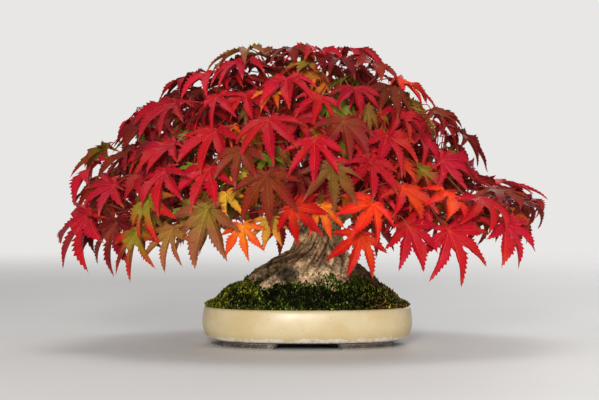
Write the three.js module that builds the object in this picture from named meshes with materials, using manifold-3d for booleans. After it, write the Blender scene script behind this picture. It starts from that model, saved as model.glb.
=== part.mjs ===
// A Japanese maple bonsai in a shallow oval pot, in autumn leaf.
// Millimetres, +Z up, the pot's long side along X, the front of the tree towards -Y.
import * as THREE from "three";
import { mergeVertices } from "three/addons/utils/BufferGeometryUtils.js";
import Module from "manifold-3d";

const wasm = await Module();
wasm.setup();

// Gap kept between neighbouring pieces
const GAP = 0.35;

// Pot: an oval with slightly flattened sides, |x/a|^n + |y/b|^n = 1
const OVAL_POWER = 2.5;
const OVAL_SIDES = 36;
const POT_HALF_LENGTH = 77.5;
const POT_HALF_WIDTH = 57;
const RIM_Z = 29;
const FOOT_HEIGHT = 4.6;
const FLOOR_Z = 10;
// Inset from the widest line and height, from the underside up the outside, over the rim and down inside
const POT_PROFILE = [
  [7.5, FOOT_HEIGHT],
  [3.6, 6.6],
  [1.0, 11],
  [0, 17],
  [0.5, 23],
  [1.2, 27],
  [2.4, RIM_Z],
  [5.4, RIM_Z],
  [6.6, 27],
  [8.2, 14],
  [12, FLOOR_Z],
];
const FOOT_WIDTH = 7;
const FOOT_INSET = 9.5;
const FOOT_FROM_X = 22;
const FOOT_TO_X = 64;
const FOOT_TAPER = 3;
const FOOT_SINK = 1.5;
const HOLE_RADIUS = 6;
const HOLE_X = 34;
const SCREEN_SIZE = 19;
const SCREEN_THICK = 1;
const SCREEN_OPENINGS = 2;
const SCREEN_BAR_WIDTH = 2.2;

// Mound of soil with a moss mat over it
const MOUND_EDGE_Z = 28.7;
const MOUND_RISE = 19;
const MOUND_POWER = 3.3;
const SOIL_EDGE_INSET = 7.2;
const SOIL_SIDE_Z = 26.5;
const SOIL_RINGS = [0.86, 0.66, 0.4];
const MOSS_RINGS = [0.92, 0.79, 0.64, 0.47];
const MOSS_THICK = 2.6;
const MOSS_CLUMP = 1.1;
const MOSS_EDGE_INSET = 3;
// The mat's edge from its underside up: inset behind its furthest line and height
const MOSS_EDGE = [
  [0, 0],
  [0.3, 1.1],
  [2.6, 2.6],
];
// Clumps of the mat: two crossed waves, each bent by a longer one, in radians and radians a millimetre
const CLUMP_WAVE = { alongX: 0.29, alongY: 0.33 };
const CLUMP_BEND = { ofX: 1.3, overY: 0.21, ofY: 0.8, overX: 0.17 };

// Trunk: height, centre x, centre y, half width, half depth of each ring from the root mass up
const TRUNK_SIDES = 12;
const TRUNK_RINGS = [
  [20, 6, 0, 20, 17],
  [38, 6, 0, 27, 23],
  [48, 6.5, 0, 35, 28],
  [54, 6.8, 0, 29, 23.5],
  [61, 7.4, 0.5, 23.5, 19.5],
  [69.5, 7.6, 1, 19.5, 16.5],
  [77, 8.6, 1, 16.6, 14.5],
  [84, 9, 1, 15, 13],
  [89, 9, 1, 12, 10.5],
];
const FLUTES = 5;
const FLUTE_DEPTH = 0.13;

// Surface roots: points from inside the trunk's foot outwards, as x, y, height over the soil, half width
const SURFACE_ROOTS = [
  [[-4, -4, 11, 9], [-22, -9, 4.5, 8], [-38, -14, 1, 5.4], [-52, -20, 0, 1.8]],
  [[2, -12, 8, 9], [-14, -23, 2.4, 7.4], [-28, -32, 0.4, 4.8], [-39, -39, 0, 1.6]],
  [[8, -13, 7, 8], [13, -27, 1.4, 6], [20, -38, 0, 1.8]],
  [[18, -5, 9, 9], [35, -10, 2.8, 7.2], [47, -17, 0.4, 4.6], [56, -24, 0, 1.6]],
  [[20, 4, 8, 8], [38, 10, 2, 6.4], [52, 17, 0, 3.6], [60, 21, 0, 1.4]],
  [[10, 12, 7, 8], [19, 27, 1.8, 6.2], [26, 39, 0, 1.8]],
  [[0, 10, 8, 8], [-14, 25, 2, 6.4], [-26, 36, 0, 1.8]],
];
const ROOT_FLATNESS = 0.72;
const ROOT_SIDES = 5;
const ROOT_STEPS = 3;

// Crown: a dome about DOME_CENTRE, longer to the left and at its lower right branch
const DOME_CENTRE = new THREE.Vector3(0, 0, 62);
const DOME_LEFT = 190;
const DOME_RIGHT = 150;
const DOME_LOW_RIGHT = 198;
const DOME_DEPTH = 143;
const DOME_HEIGHT = 174;
const DOME_SKIRT = 300;
// Below 2 the dome is leaner than an ellipsoid between its axes
const DOME_POWER = 1.8;
const LEAF_LEVEL = 0.92;
// The lower right branch fades into the dome between these steepnesses
const DOME_LOW_FROM = 0.2;
const DOME_LOW_TO = 0.46;

// Leaf: seven lobes as angle from the middle lobe, length and half width as shares of the leaf's length
const LOBES = [
  { angle: 0, length: 1, half: 0.135 },
  { angle: 38, length: 0.93, half: 0.125 },
  { angle: 76, length: 0.68, half: 0 },
  { angle: 118, length: 0.33, half: 0 },
];
const SHOULDER_AT = 0.5;
// Notches between the lobes, as angle and distance from the leaf's hub
const NOTCHES = [
  [19, 0.3],
  [57, 0.27],
  [98, 0.16],
];
const STALK_NOTCH = 0.07;
const BLADE_THICK = 0.75;
const STALK_RADIUS = 0.75;
const SHOOT_RADIUS = 1.1;
// Share of the shoot's length between the bases of its stalks
const STALK_STEP = 0.045;
// How far a stalk's bend lies behind its blade and under it
const BEND_BACK = 7;
const BEND_DOWN = 6.5;
// Depth under the leaves of a shoot's fork and of its foot, and how far uphill of its leaves they lie
const FORK_DEPTH = 14;
const FORK_UPHILL = 9;
const FOOT_DEPTH = 27;
const FOOT_UPHILL = 15;
// Lifts and changes of tilt that a leaf tries, nearest first, until it lies clear of the leaves before it
const LIFTS = [0, 3, -3, -6, 6, -9, -12, -15, 9, 12];
const TILT_CHANGES = [0, 0.12, -0.12];
// No leaf's hub lies higher than the crown's top
const CROWN_TOP_Z = 221.5;
const LEAF_CLEARANCE = 1.7;
const STEM_CLEARANCE = 2.2;
// A stem that ends further than this beyond a leaf's length is clear of the leaf
const STEM_REACH = 40;
// How a leaf's blade lies off the dome: its mean tilt, and how far tilt and roll vary
const LEAF_TILT = 0.12;
const FRONT_TILT_VARIES = 0.07;
const FRONT_ROLL_VARIES = 0.12;
const FILL_TILT_VARIES = 0.08;
const FILL_ROLL_VARIES = 0.14;

// Colours
const WOOD = new THREE.MeshStandardMaterial({ color: 0x8c7a66, roughness: 0.9, metalness: 0 });
const GLAZE = new THREE.MeshStandardMaterial({ color: 0xe8dcae, roughness: 0.25, metalness: 0 });
const SOIL = new THREE.MeshStandardMaterial({ color: 0x3a2c20, roughness: 1, metalness: 0 });
const MOSS = new THREE.MeshStandardMaterial({ color: 0x55702a, roughness: 1, metalness: 0 });
const MESH_PLASTIC = new THREE.MeshStandardMaterial({ color: 0x22262a, roughness: 0.6, metalness: 0 });
const LEAF_TINTS = {
  crimson: 0xc01423,
  scarlet: 0xe63214,
  orange: 0xef7a22,
  olive: 0x9a7420,
  maroon: 0x78101a,
};

// Leafy shoots seen from the front: tint, then each leaf's hub x and z, lean of its middle lobe
// from straight down (positive to the right, in degrees) and length
const FRONT_SHOOTS = [
  ["maroon", [[-12, 217, 5, 33], [-44, 206, -50, 35], [22, 208, 35, 34]]],
  ["crimson", [[-15, 192, 0, 37], [9, 181, -18, 29], [33, 186, 8, 31]]],
  ["crimson", [[57, 186, 25, 31], [65, 171, 18, 34], [94, 168, 48, 32]]],
  ["crimson", [[-64, 180, -12, 35], [-92, 174, -45, 38], [-44, 183, 10, 29]]],
  ["crimson", [[-27, 161, 4, 41], [-65, 157, -18, 39], [-6, 169, 15, 28]]],
  ["scarlet", [[4, 146, 0, 35], [24, 162, 8, 37], [-44, 140, -12, 31]]],
  ["crimson", [[57, 157, 22, 37], [43, 136, 0, 35], [84, 158, 30, 34]]],
  ["maroon", [[-116, 164, -55, 34], [-98, 151, -38, 36], [-130, 145, -45, 35]]],
  ["crimson", [[-140, 122, -38, 39], [-116, 135, -14, 36], [-154, 104, -62, 35]]],
  ["crimson", [[-152, 97, -28, 47], [-136, 93, -10, 43], [-123, 106, -22, 33]]],
  ["olive", [[-115, 86, 0, 36], [-105, 106, 20, 34], [-92, 124, -6, 34]]],
  ["olive", [[-68, 102, -12, 44], [-69, 131, -22, 38], [-90, 88, -14, 32]]],
  ["olive", [[-28, 125, 5, 40], [16, 129, -4, 36]]],
  ["orange", [[-45, 92, 5, 28], [-27, 98, -12, 25], [-11, 105, 42, 31]]],
  ["orange", [[45, 107, -32, 35], [66, 118, 18, 33], [9, 106, 12, 26]]],
  ["scarlet", [[38, 87, -20, 36], [67, 91, 24, 36]]],
  ["scarlet", [[98, 88, 18, 44], [95, 113, 4, 34], [82, 136, 14, 33]]],
  ["crimson", [[117, 108, 30, 44], [114, 131, 48, 35], [104, 150, 34, 35]]],
  ["crimson", [[152, 108, 44, 44], [138, 124, 62, 37], [134, 92, 20, 36]]],
];
// Shoots on the top, back and sides: places tried on a spiral down the dome, kept where no leaf is near
const FILL_TRIES = 140;
const FILL_SPACING = 27;
const FILL_LOW = 0.24;
const FILL_HIGH = 1;
const FILL_TINTS = ["crimson", "scarlet", "maroon", "crimson", "orange", "crimson", "olive"];
const FILL_LENGTH = 37;
const FILL_SPREAD = 4;
// A filling shoot's leaves: down the slope and across it from the shoot's place, and turn
const FILL_LEAVES = [
  [13, 0, 0],
  [-4, 20, 0.66],
  [-4, -20, -0.66],
];
const FILL_SHIFT = 4;
const FILL_TURN = 0.25;
const MOST_SHOOTS = 50;
const GOLDEN_ANGLE = Math.PI * (3 - Math.sqrt(5));

// Limbs: centre lines from the fork up into the crown, each point as x, y, z, radius
const LIMBS = [
  [[4, 0, 78, 8], [-2, -2, 90, 5.6], [-13, -6, 108, 4.8], [-22, -4, 130, 3.8], [-30, 2, 150, 2.8]],
  [[14, 0, 78, 8], [19, -1, 90, 5.4], [17, -4, 106, 4.8], [26, -2, 128, 3.8], [30, 2, 150, 2.8]],
  [[9, 4, 80, 8], [8, 9, 95, 5.2], [4, 15, 115, 4.4], [0, 16, 140, 3.6], [-4, 8, 162, 2.8]],
];
// Branches: the limb and the point on it where each starts, its middle and its end
const BRANCHES = [
  { limb: 0, at: 1, mid: [-34, -14, 104], end: [-74, -26, 108] },
  { limb: 0, at: 2, mid: [-44, 6, 118], end: [-86, 14, 126] },
  { limb: 0, at: 2, mid: [-22, -38, 114], end: [-34, -68, 108] },
  { limb: 0, at: 4, mid: [-44, -8, 160], end: [-60, -12, 162] },
  { limb: 1, at: 1, mid: [46, -14, 102], end: [84, -30, 104] },
  { limb: 1, at: 2, mid: [30, -36, 114], end: [32, -68, 108] },
  { limb: 1, at: 2, mid: [50, 12, 116], end: [86, 24, 112] },
  { limb: 1, at: 4, mid: [44, -6, 160], end: [60, -14, 158] },
  { limb: 2, at: 1, mid: [-14, 38, 108], end: [-34, 68, 106] },
  { limb: 2, at: 1, mid: [22, 38, 106], end: [38, 68, 104] },
  { limb: 2, at: 3, mid: [-4, 40, 150], end: [-6, 56, 154] },
  { limb: 2, at: 4, mid: [-4, -10, 168], end: [-6, -34, 170] },
];
const BRANCH_RADIUS = 3;
const BRANCH_END_RADIUS = 1.9;
// A twig's radius and the straight stretch at its end, how squarely its facet has to look towards it
// and how much that counts beside nearness, its collar, its lowest place and its distance from others
const TWIG_RADIUS = 1.3;
const TWIG_STRAIGHT = 8;
const TWIG_FACING = 0.45;
const TWIG_SQUARE = 0.6;
const TWIG_COLLAR = 6;
const TWIG_COLLAR_RADIUS = 1.6;
const TWIG_LOWEST = 94;
const TWIG_TO_BRANCH = 4.2;
const TWIG_TO_TWIG = 3.2;

// A closed mesh as a solid for joining and cutting
function solidOf(geometry) {
  const bare = geometry.clone();
  bare.deleteAttribute("normal");
  bare.deleteAttribute("uv");
  const merged = mergeVertices(bare, 1e-4);
  return new wasm.Manifold(
    new wasm.Mesh({
      numProp: 3,
      vertProperties: new Float32Array(merged.attributes.position.array),
      triVerts: new Uint32Array(merged.index.array),
    }),
  );
}

// A solid as a named mesh, keeping only its largest body
function meshOf(name, solid, material) {
  const bodies = solid.decompose().sort((a, b) => b.volume() - a.volume());
  const made = bodies[0].getMesh();
  const geometry = new THREE.BufferGeometry();
  geometry.setAttribute("position", new THREE.BufferAttribute(new Float32Array(made.vertProperties), 3));
  geometry.setIndex(new THREE.BufferAttribute(new Uint32Array(made.triVerts), 1));
  geometry.computeVertexNormals();
  const mesh = new THREE.Mesh(geometry, material);
  mesh.name = name;
  return mesh;
}

function joined(solids) {
  return solids.reduce((all, next) => all.add(next));
}

function indexed(points, triangles) {
  const geometry = new THREE.BufferGeometry();
  const places = points.flatMap((p) => [p.x, p.y, p.z]);
  geometry.setAttribute("position", new THREE.Float32BufferAttribute(places, 3));
  geometry.setIndex(triangles);
  return geometry;
}

function middleOf(points) {
  return points.reduce((sum, p) => sum.add(p), new THREE.Vector3()).divideScalar(points.length);
}

// A skin over rings of equal count, closed by a fan at each end
function loft(rings) {
  const count = rings[0].length;
  const points = rings.flat();
  const triangles = [];
  for (let i = 0; i + 1 < rings.length; i++) {
    for (let j = 0; j < count; j++) {
      const a = i * count + j;
      const b = i * count + ((j + 1) % count);
      triangles.push(a, b, b + count, a, b + count, a + count);
    }
  }
  // A ring of few sides is fanned from its own first corner, a larger one from its middle
  const small = count < 6;
  for (const first of [0, (rings.length - 1) * count]) {
    const centre = small ? first : points.length;
    if (!small) points.push(middleOf(points.slice(first, first + count)));
    for (let j = small ? 1 : 0; j < (small ? count - 1 : count); j++) {
      const a = first + j;
      const b = first + ((j + 1) % count);
      triangles.push(centre, ...(first ? [a, b] : [b, a]));
    }
  }
  return indexed(points, triangles);
}

// A tapering tube along points, with its section flattened along the local up
function tube(points, radii, sides, flatness = 1) {
  const last = points.length - 1;
  const start = points[1].clone().sub(points[0]).normalize();
  const steep = Math.abs(start.z) > 0.8;
  const side = start.cross(new THREE.Vector3(0, steep ? 1 : 0, steep ? 0 : 1));
  const rings = points.map((point, i) => {
    const along = points[Math.min(i + 1, last)].clone().sub(points[Math.max(i - 1, 0)]).normalize();
    side.addScaledVector(along, -side.dot(along)).normalize();
    const up = along.clone().cross(side);
    return Array.from({ length: sides }, (_, j) => {
      const turn = (2 * Math.PI * (j + 0.5)) / sides;
      return point
        .clone()
        .addScaledVector(side, radii[i] * Math.cos(turn))
        .addScaledVector(up, radii[i] * flatness * Math.sin(turn));
    });
  });
  return solidOf(loft(rings));
}

// A smooth run of points and radii through a few given ones, each given as [x, y, z, radius]
function smoothRun(given, steps) {
  const curve = new THREE.CatmullRomCurve3(given.map(([x, y, z]) => new THREE.Vector3(x, y, z)));
  const points = curve.getPoints(steps);
  const radii = points.map((_, i) => {
    const place = (i / steps) * (given.length - 1);
    const before = Math.min(Math.floor(place), given.length - 2);
    return THREE.MathUtils.lerp(given[before][3], given[before + 1][3], place - before);
  });
  return { points, radii };
}

// One loop of the pot's oval
function ovalPoint(halfLength, halfWidth, turn, z) {
  const c = Math.cos(turn);
  const s = Math.sin(turn);
  return new THREE.Vector3(
    halfLength * Math.sign(c) * Math.abs(c) ** (2 / OVAL_POWER),
    halfWidth * Math.sign(s) * Math.abs(s) ** (2 / OVAL_POWER),
    z,
  );
}

function ovalRing(inset, z) {
  return Array.from({ length: OVAL_SIDES }, (_, j) =>
    ovalPoint(POT_HALF_LENGTH - inset, POT_HALF_WIDTH - inset, (2 * Math.PI * (j + 0.5)) / OVAL_SIDES, z),
  );
}

// A foot: a ledge that follows the oval, shorter at its sole
function makeFoot(signX, signY) {
  const halfLength = POT_HALF_LENGTH - FOOT_INSET;
  const halfWidth = POT_HALF_WIDTH - FOOT_INSET;
  const turnAt = (x) => Math.acos((x / halfLength) ** (OVAL_POWER / 2));
  const stations = 4;
  const rings = Array.from({ length: stations }, (_, i) => {
    const share = i / (stations - 1);
    const topTurn = turnAt(THREE.MathUtils.lerp(FOOT_FROM_X, FOOT_TO_X, share));
    const soleTurn = turnAt(THREE.MathUtils.lerp(FOOT_FROM_X + FOOT_TAPER, FOOT_TO_X - FOOT_TAPER, share));
    const corner = (inset, turn, z) => {
      const p = ovalPoint(halfLength - inset, halfWidth - inset, turn, z);
      return new THREE.Vector3(signX * p.x, signY * p.y, z);
    };
    const top = FOOT_HEIGHT + FOOT_SINK;
    return [
      corner(0, topTurn, top),
      corner(FOOT_WIDTH, topTurn, top),
      corner(FOOT_WIDTH, soleTurn, 0),
      corner(0, soleTurn, 0),
    ];
  });
  const solid = solidOf(loft(rings));
  return solid.volume() > 0 ? solid : solidOf(loft(rings.map((ring) => ring.toReversed())));
}

function upright(radius, height, x, y, z, sides) {
  const geometry = new THREE.CylinderGeometry(radius, radius, height, sides);
  geometry.rotateX(Math.PI / 2);
  geometry.translate(x, y, z);
  return solidOf(geometry);
}

function box(width, depth, height, x, y, z) {
  return solidOf(new THREE.BoxGeometry(width, depth, height).translate(x, y, z));
}

function makePot() {
  let pot = solidOf(loft(POT_PROFILE.map(([inset, z]) => ovalRing(inset, z))));
  for (const signX of [-1, 1]) {
    for (const signY of [-1, 1]) pot = pot.add(makeFoot(signX, signY));
    pot = pot.subtract(upright(HOLE_RADIUS, 3 * FLOOR_Z, signX * HOLE_X, 0, FLOOR_Z, 16));
  }
  return meshOf("pot", pot, GLAZE);
}

// A square plastic screen over a drainage hole
function makeScreen(name, x) {
  const z = FLOOR_Z + GAP + SCREEN_THICK / 2;
  const step = (SCREEN_SIZE - SCREEN_BAR_WIDTH) / SCREEN_OPENINGS;
  const opening = step - SCREEN_BAR_WIDTH;
  let screen = box(SCREEN_SIZE, SCREEN_SIZE, SCREEN_THICK, x, 0, z);
  for (let i = 0; i < SCREEN_OPENINGS; i++) {
    for (let j = 0; j < SCREEN_OPENINGS; j++) {
      const across = (i - (SCREEN_OPENINGS - 1) / 2) * step;
      const back = (j - (SCREEN_OPENINGS - 1) / 2) * step;
      screen = screen.subtract(box(opening, opening, 3 * SCREEN_THICK, x + across, back, z));
    }
  }
  return meshOf(name, screen, MESH_PLASTIC);
}

// Height of the soil at a share of the way from the mound's middle to its edge
function soilHeight(share) {
  return MOUND_EDGE_Z + MOUND_RISE * (1 - share ** MOUND_POWER);
}

function moundShare(x, y) {
  const a = Math.abs(x) / (POT_HALF_LENGTH - SOIL_EDGE_INSET);
  const b = Math.abs(y) / (POT_HALF_WIDTH - SOIL_EDGE_INSET);
  return Math.min(1, (a ** OVAL_POWER + b ** OVAL_POWER) ** (1 / OVAL_POWER));
}

function shareRing(share, z, lift = () => 0) {
  return ovalRing(SOIL_EDGE_INSET, z).map((p) => {
    const q = new THREE.Vector3(p.x * share, p.y * share, z);
    q.z += lift(q.x, q.y);
    return q;
  });
}

// Trunk, root mass and surface roots, all swollen by grow
function makeFootOfTree(grow) {
  const rings = TRUNK_RINGS.map(([z, x, y, halfWidth, halfDepth], i) =>
    Array.from({ length: TRUNK_SIDES }, (_, j) => {
      const turn = (2 * Math.PI * j) / TRUNK_SIDES;
      const flute = 1 + FLUTE_DEPTH * Math.sin(FLUTES * turn + 0.5 * i) * (i > 1 ? 1 : 0);
      return new THREE.Vector3(
        x + (halfWidth * flute + grow) * Math.cos(turn),
        y + (halfDepth * flute + grow) * Math.sin(turn),
        i === 0 ? z - grow : z,
      );
    }),
  );
  const roots = SURFACE_ROOTS.map((root) => {
    const given = root.map(([x, y, over, half]) => {
      const bed = soilHeight(moundShare(x, y)) + 3 * GAP;
      return [x, y, bed + over + half * ROOT_FLATNESS, half];
    });
    const { points, radii } = smoothRun(given, ROOT_STEPS);
    return tube(points, radii.map((r) => r + grow), ROOT_SIDES, ROOT_FLATNESS);
  });
  return { trunk: solidOf(loft(rings)), roots: joined(roots) };
}

function makeSoil(treeHole) {
  const [[wallInset, wallZ], [floorInset, floorZ]] = POT_PROFILE.slice(-2);
  const rings = [
    ovalRing(floorInset + GAP, floorZ + GAP),
    ovalRing(wallInset + GAP, wallZ),
    ovalRing(SOIL_EDGE_INSET, SOIL_SIDE_Z),
    ovalRing(SOIL_EDGE_INSET, MOUND_EDGE_Z),
    ...SOIL_RINGS.map((share) => shareRing(share, soilHeight(share))),
  ];
  let soil = solidOf(loft(rings)).subtract(treeHole.trunk);
  const side = SCREEN_SIZE + 2 * GAP;
  for (const sign of [-1, 1]) {
    soil = soil.subtract(box(side, side, 2 * (SCREEN_THICK + 2 * GAP), sign * HOLE_X, 0, FLOOR_Z));
  }
  return meshOf("soil", soil, SOIL);
}

// Low clumps over the mat
function mossClump(x, y) {
  const ofX = CLUMP_WAVE.alongX * x + CLUMP_BEND.ofX * Math.sin(CLUMP_BEND.overY * y);
  const ofY = CLUMP_WAVE.alongY * y + CLUMP_BEND.ofY * Math.sin(CLUMP_BEND.overX * x);
  return MOSS_CLUMP * Math.sin(ofX) * Math.cos(ofY);
}

function makeMoss(treeHole) {
  const underEdge = RIM_Z + GAP;
  const rings = [
    ...SOIL_RINGS.toReversed().map((share) => shareRing(share, soilHeight(share) + GAP)),
    ovalRing(SOIL_EDGE_INSET, underEdge),
    ...MOSS_EDGE.map(([behind, height]) => ovalRing(MOSS_EDGE_INSET + behind, underEdge + height)),
    ...MOSS_RINGS.map((share) => shareRing(share, soilHeight(share) + MOSS_THICK, mossClump)),
  ];
  const mat = solidOf(loft(rings)).subtract(treeHole.trunk).subtract(treeHole.roots);
  return meshOf("moss", mat, MOSS);
}

// Distance from the dome's centre to its outer skin along a unit direction
function domeRadius(direction) {
  const low = 1 - THREE.MathUtils.smoothstep(direction.z, DOME_LOW_FROM, DOME_LOW_TO);
  const right = THREE.MathUtils.lerp(DOME_RIGHT, DOME_LOW_RIGHT, low);
  const x = Math.abs(direction.x) / (direction.x < 0 ? DOME_LEFT : right);
  const y = Math.abs(direction.y) / DOME_DEPTH;
  const z = Math.abs(direction.z) / (direction.z < 0 ? DOME_SKIRT : DOME_HEIGHT);
  return (x ** DOME_POWER + y ** DOME_POWER + z ** DOME_POWER) ** (-1 / DOME_POWER);
}

// The point over a direction, at a height in millimetres over the level of the leaves
function domePoint(direction, height) {
  return DOME_CENTRE.clone().addScaledVector(direction, domeRadius(direction) * LEAF_LEVEL + height);
}

function directionTo(point) {
  return point.clone().sub(DOME_CENTRE).normalize();
}

// Outward normal of the level of the leaves
function domeNormal(direction) {
  const step = 0.02;
  const across = new THREE.Vector3(-direction.y, direction.x, 0).normalize();
  const upward = direction.clone().cross(across).normalize();
  const near = (axis, way) => domePoint(direction.clone().addScaledVector(axis, way * step).normalize(), 0);
  const a = near(across, 1).sub(near(across, -1));
  const b = near(upward, 1).sub(near(upward, -1));
  const normal = a.cross(b).normalize();
  return normal.dot(direction) < 0 ? normal.negate() : normal;
}

// A leaf's frame on the dome from its hub's direction: along points down the slope, turned by turn
function leafFrame(direction, turn) {
  const normal = domeNormal(direction);
  const downhill = new THREE.Vector3(0, 0, -1).addScaledVector(normal, normal.z).normalize();
  const along = downhill.applyAxisAngle(normal, turn);
  return { direction, normal, along, across: normal.clone().cross(along), hub: domePoint(direction, 0) };
}

// A direction on the front of the dome whose leaf level shows at x and z seen from the front
function frontDirection(x, z) {
  const tries = 40;
  const stride = 60;
  const furthestBack = -8;
  let y = -DOME_DEPTH / 2;
  for (let i = 0; i < tries; i++) {
    const point = new THREE.Vector3(x, y, z);
    const direction = directionTo(point);
    const out = point.distanceTo(DOME_CENTRE) / (domeRadius(direction) * LEAF_LEVEL);
    y = THREE.MathUtils.clamp(y - (1 - out) * stride, -DOME_DEPTH, furthestBack);
  }
  return directionTo(new THREE.Vector3(x, y, z));
}

// Turn that makes a leaf's middle lobe lean by an angle from straight down, seen from the front
function turnForLean(direction, lean) {
  const { normal, along, across } = leafFrame(direction, 0);
  const leastFacing = 0.35;
  const facing = Math.min(normal.y, -leastFacing);
  const seen = new THREE.Vector3(Math.sin(lean), 0, -Math.cos(lean));
  seen.y = -(normal.x * seen.x + normal.z * seen.z) / facing;
  return Math.atan2(seen.dot(across), seen.dot(along));
}

// The middle surface of a leaf: u along its middle lobe, v across
function leafPoint(leaf, u, v) {
  const flat = leaf.hub.clone().addScaledVector(leaf.along, u).addScaledVector(leaf.across, v);
  return domePoint(directionTo(flat), leafHeight(leaf, u, v));
}

function leafHeight(leaf, u, v) {
  return leaf.lift + leaf.tilt * u + leaf.roll * v;
}

// Where a direction meets a leaf, in the leaf's own u and v
function leafPlace(leaf, direction) {
  const reach = leaf.hub.clone().sub(DOME_CENTRE).dot(leaf.normal) / direction.dot(leaf.normal);
  const offset = DOME_CENTRE.clone().addScaledVector(direction, reach).sub(leaf.hub);
  return [offset.dot(leaf.along), offset.dot(leaf.across)];
}

// The leaf's outline as [u, v] for a length of 1, from the middle lobe's tip round to the stalk and back
function leafOutline() {
  const half = [];
  const rad = THREE.MathUtils.degToRad;
  LOBES.forEach(({ angle, length, half: width }, i) => {
    const turn = rad(angle);
    const at = (along, aside) => [
      along * Math.cos(turn) - aside * Math.sin(turn),
      along * Math.sin(turn) + aside * Math.cos(turn),
    ];
    if (width && i > 0) half.push({ at: at(SHOULDER_AT * length, -width) });
    half.push({ at: at(length, 0), tip: true });
    if (width) half.push({ at: at(SHOULDER_AT * length, width) });
    if (NOTCHES[i]) {
      const [notchAngle, reach] = NOTCHES[i];
      half.push({ at: [reach * Math.cos(rad(notchAngle)), reach * Math.sin(rad(notchAngle))] });
    }
  });
  const stalk = { at: [-STALK_NOTCH, 0], stalk: true };
  const mirrored = half.slice(1).map(({ at, tip }) => ({ at: [at[0], -at[1]], tip })).toReversed();
  return [...half, stalk, ...mirrored];
}
const OUTLINE = leafOutline();
// One half of it as angle and distance from the hub
const CORNERS = OUTLINE.slice(0, OUTLINE.length / 2 + 1).map(({ at: [u, v] }) => {
  return [Math.atan2(v, u), Math.hypot(u, v)];
});

// How far the outline reaches at an angle from the middle lobe, for a length of 1
function outlineReach(angle) {
  const turn = Math.abs(angle);
  for (let i = 0; i + 1 < CORNERS.length; i++) {
    const [from, inner] = CORNERS[i];
    const [to, outer] = CORNERS[i + 1];
    if (turn <= to) return THREE.MathUtils.lerp(inner, outer, (turn - from) / (to - from));
  }
  return STALK_NOTCH;
}

// Points spread over a leaf, as shares of its length
const LOBE_TESTS = [0.25, 0.45, 0.65, 0.85, 1];
const NOTCH_TESTS = [0.6, 1];
const TEST_POINTS = OUTLINE.flatMap(({ at: [u, v], tip }) =>
  (tip ? LOBE_TESTS : NOTCH_TESTS).map((share) => [u * share, v * share]),
);

// Whether one leaf's points run into the other leaf, and on which side they pass it
function sidesPassed(leaf, other) {
  const sides = new Set();
  for (const [u, v] of TEST_POINTS) {
    const point = leafPoint(leaf, u * leaf.length, v * leaf.length);
    const side = sideOf(point, other, leafHeight(leaf, u * leaf.length, v * leaf.length));
    if (side !== null) sides.add(side);
  }
  return sides;
}

// 1 over a leaf, -1 under it, 0 touching it, null clear of it to the side
function sideOf(point, leaf, height) {
  const direction = directionTo(point);
  const [u, v] = leafPlace(leaf, direction);
  const reach = outlineReach(Math.atan2(v, u)) * leaf.length + LEAF_CLEARANCE;
  if (Math.hypot(u, v) > reach) return null;
  const over = height - leafHeight(leaf, u, v);
  return Math.abs(over) < LEAF_CLEARANCE ? 0 : Math.sign(over);
}

function leavesMeet(a, b) {
  if (a.hub.distanceTo(b.hub) > a.length + b.length) return false;
  const sides = sidesPassed(a, b);
  for (const side of sidesPassed(b, a)) sides.add(-side || 0);
  return sides.has(0) || sides.size > 1;
}

// Whether a stem's line passes through or touches a leaf
function stemMeetsLeaf(stem, leaf) {
  if (stem.at(-1).distanceTo(leaf.hub) > leaf.length + STEM_REACH) return false;
  const sides = new Set();
  for (let i = 0; i + 1 < stem.length; i++) {
    for (let share = 0; share <= 1; share += 0.125) {
      const point = stem[i].clone().lerp(stem[i + 1], share);
      const direction = directionTo(point);
      const height = point.distanceTo(DOME_CENTRE) - domeRadius(direction) * LEAF_LEVEL;
      const side = sideOf(point, leaf, height);
      if (side !== null) sides.add(side);
    }
  }
  return sides.has(0) || sides.size > 1;
}

function stemsMeet(a, b, clearance) {
  const shares = [0, 0.2, 0.4, 0.6, 0.8, 1];
  const along = (stem) => {
    return stem.slice(1).flatMap((end, i) => shares.map((share) => stem[i].clone().lerp(end, share)));
  };
  const others = along(b);
  return along(a).some((p) => others.some((q) => p.distanceTo(q) < clearance));
}

// Three points round a line, the first turned by an angle from a side square to the line
function threeRound(centre, along, side, radius, from) {
  const up = along.clone().cross(side);
  return [from, from + 120, from + 240].map((degrees) => {
    const turn = THREE.MathUtils.degToRad(degrees);
    const rim = side.clone().multiplyScalar(Math.cos(turn)).addScaledVector(up, Math.sin(turn));
    return centre.clone().addScaledVector(rim, radius);
  });
}

// A leaf's stalk: from its base near the shoot's fork, under the leaf and up to its notch
function stalkLine(leaf) {
  const end = leafPoint(leaf, -STALK_NOTCH * leaf.length, 0);
  const bend = end.clone().addScaledVector(leaf.along, -BEND_BACK).addScaledVector(leaf.normal, -BEND_DOWN);
  return [leaf.base, bend, end];
}

const POSTURES = LIFTS.flatMap((lift) => TILT_CHANGES.map((change) => ({ lift, change })));

// Seeded random numbers from 0 to 1
function seeded(seed) {
  let state = seed;
  return () => {
    state = (state * 16807) % 2147483647;
    return state / 2147483647;
  };
}

// A shoot's fork and foot, deeper in the crown and uphill of its leaves
function shootLine(leaves) {
  const { along, hub } = leafFrame(directionTo(middleOf(leaves.map((leaf) => leaf.hub))), 0);
  const inward = (uphill, depth) => {
    const point = hub.clone().addScaledVector(along, -uphill);
    return domePoint(directionTo(point), -depth);
  };
  return { fork: inward(FORK_UPHILL, FORK_DEPTH), foot: inward(FOOT_UPHILL, FOOT_DEPTH) };
}

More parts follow.
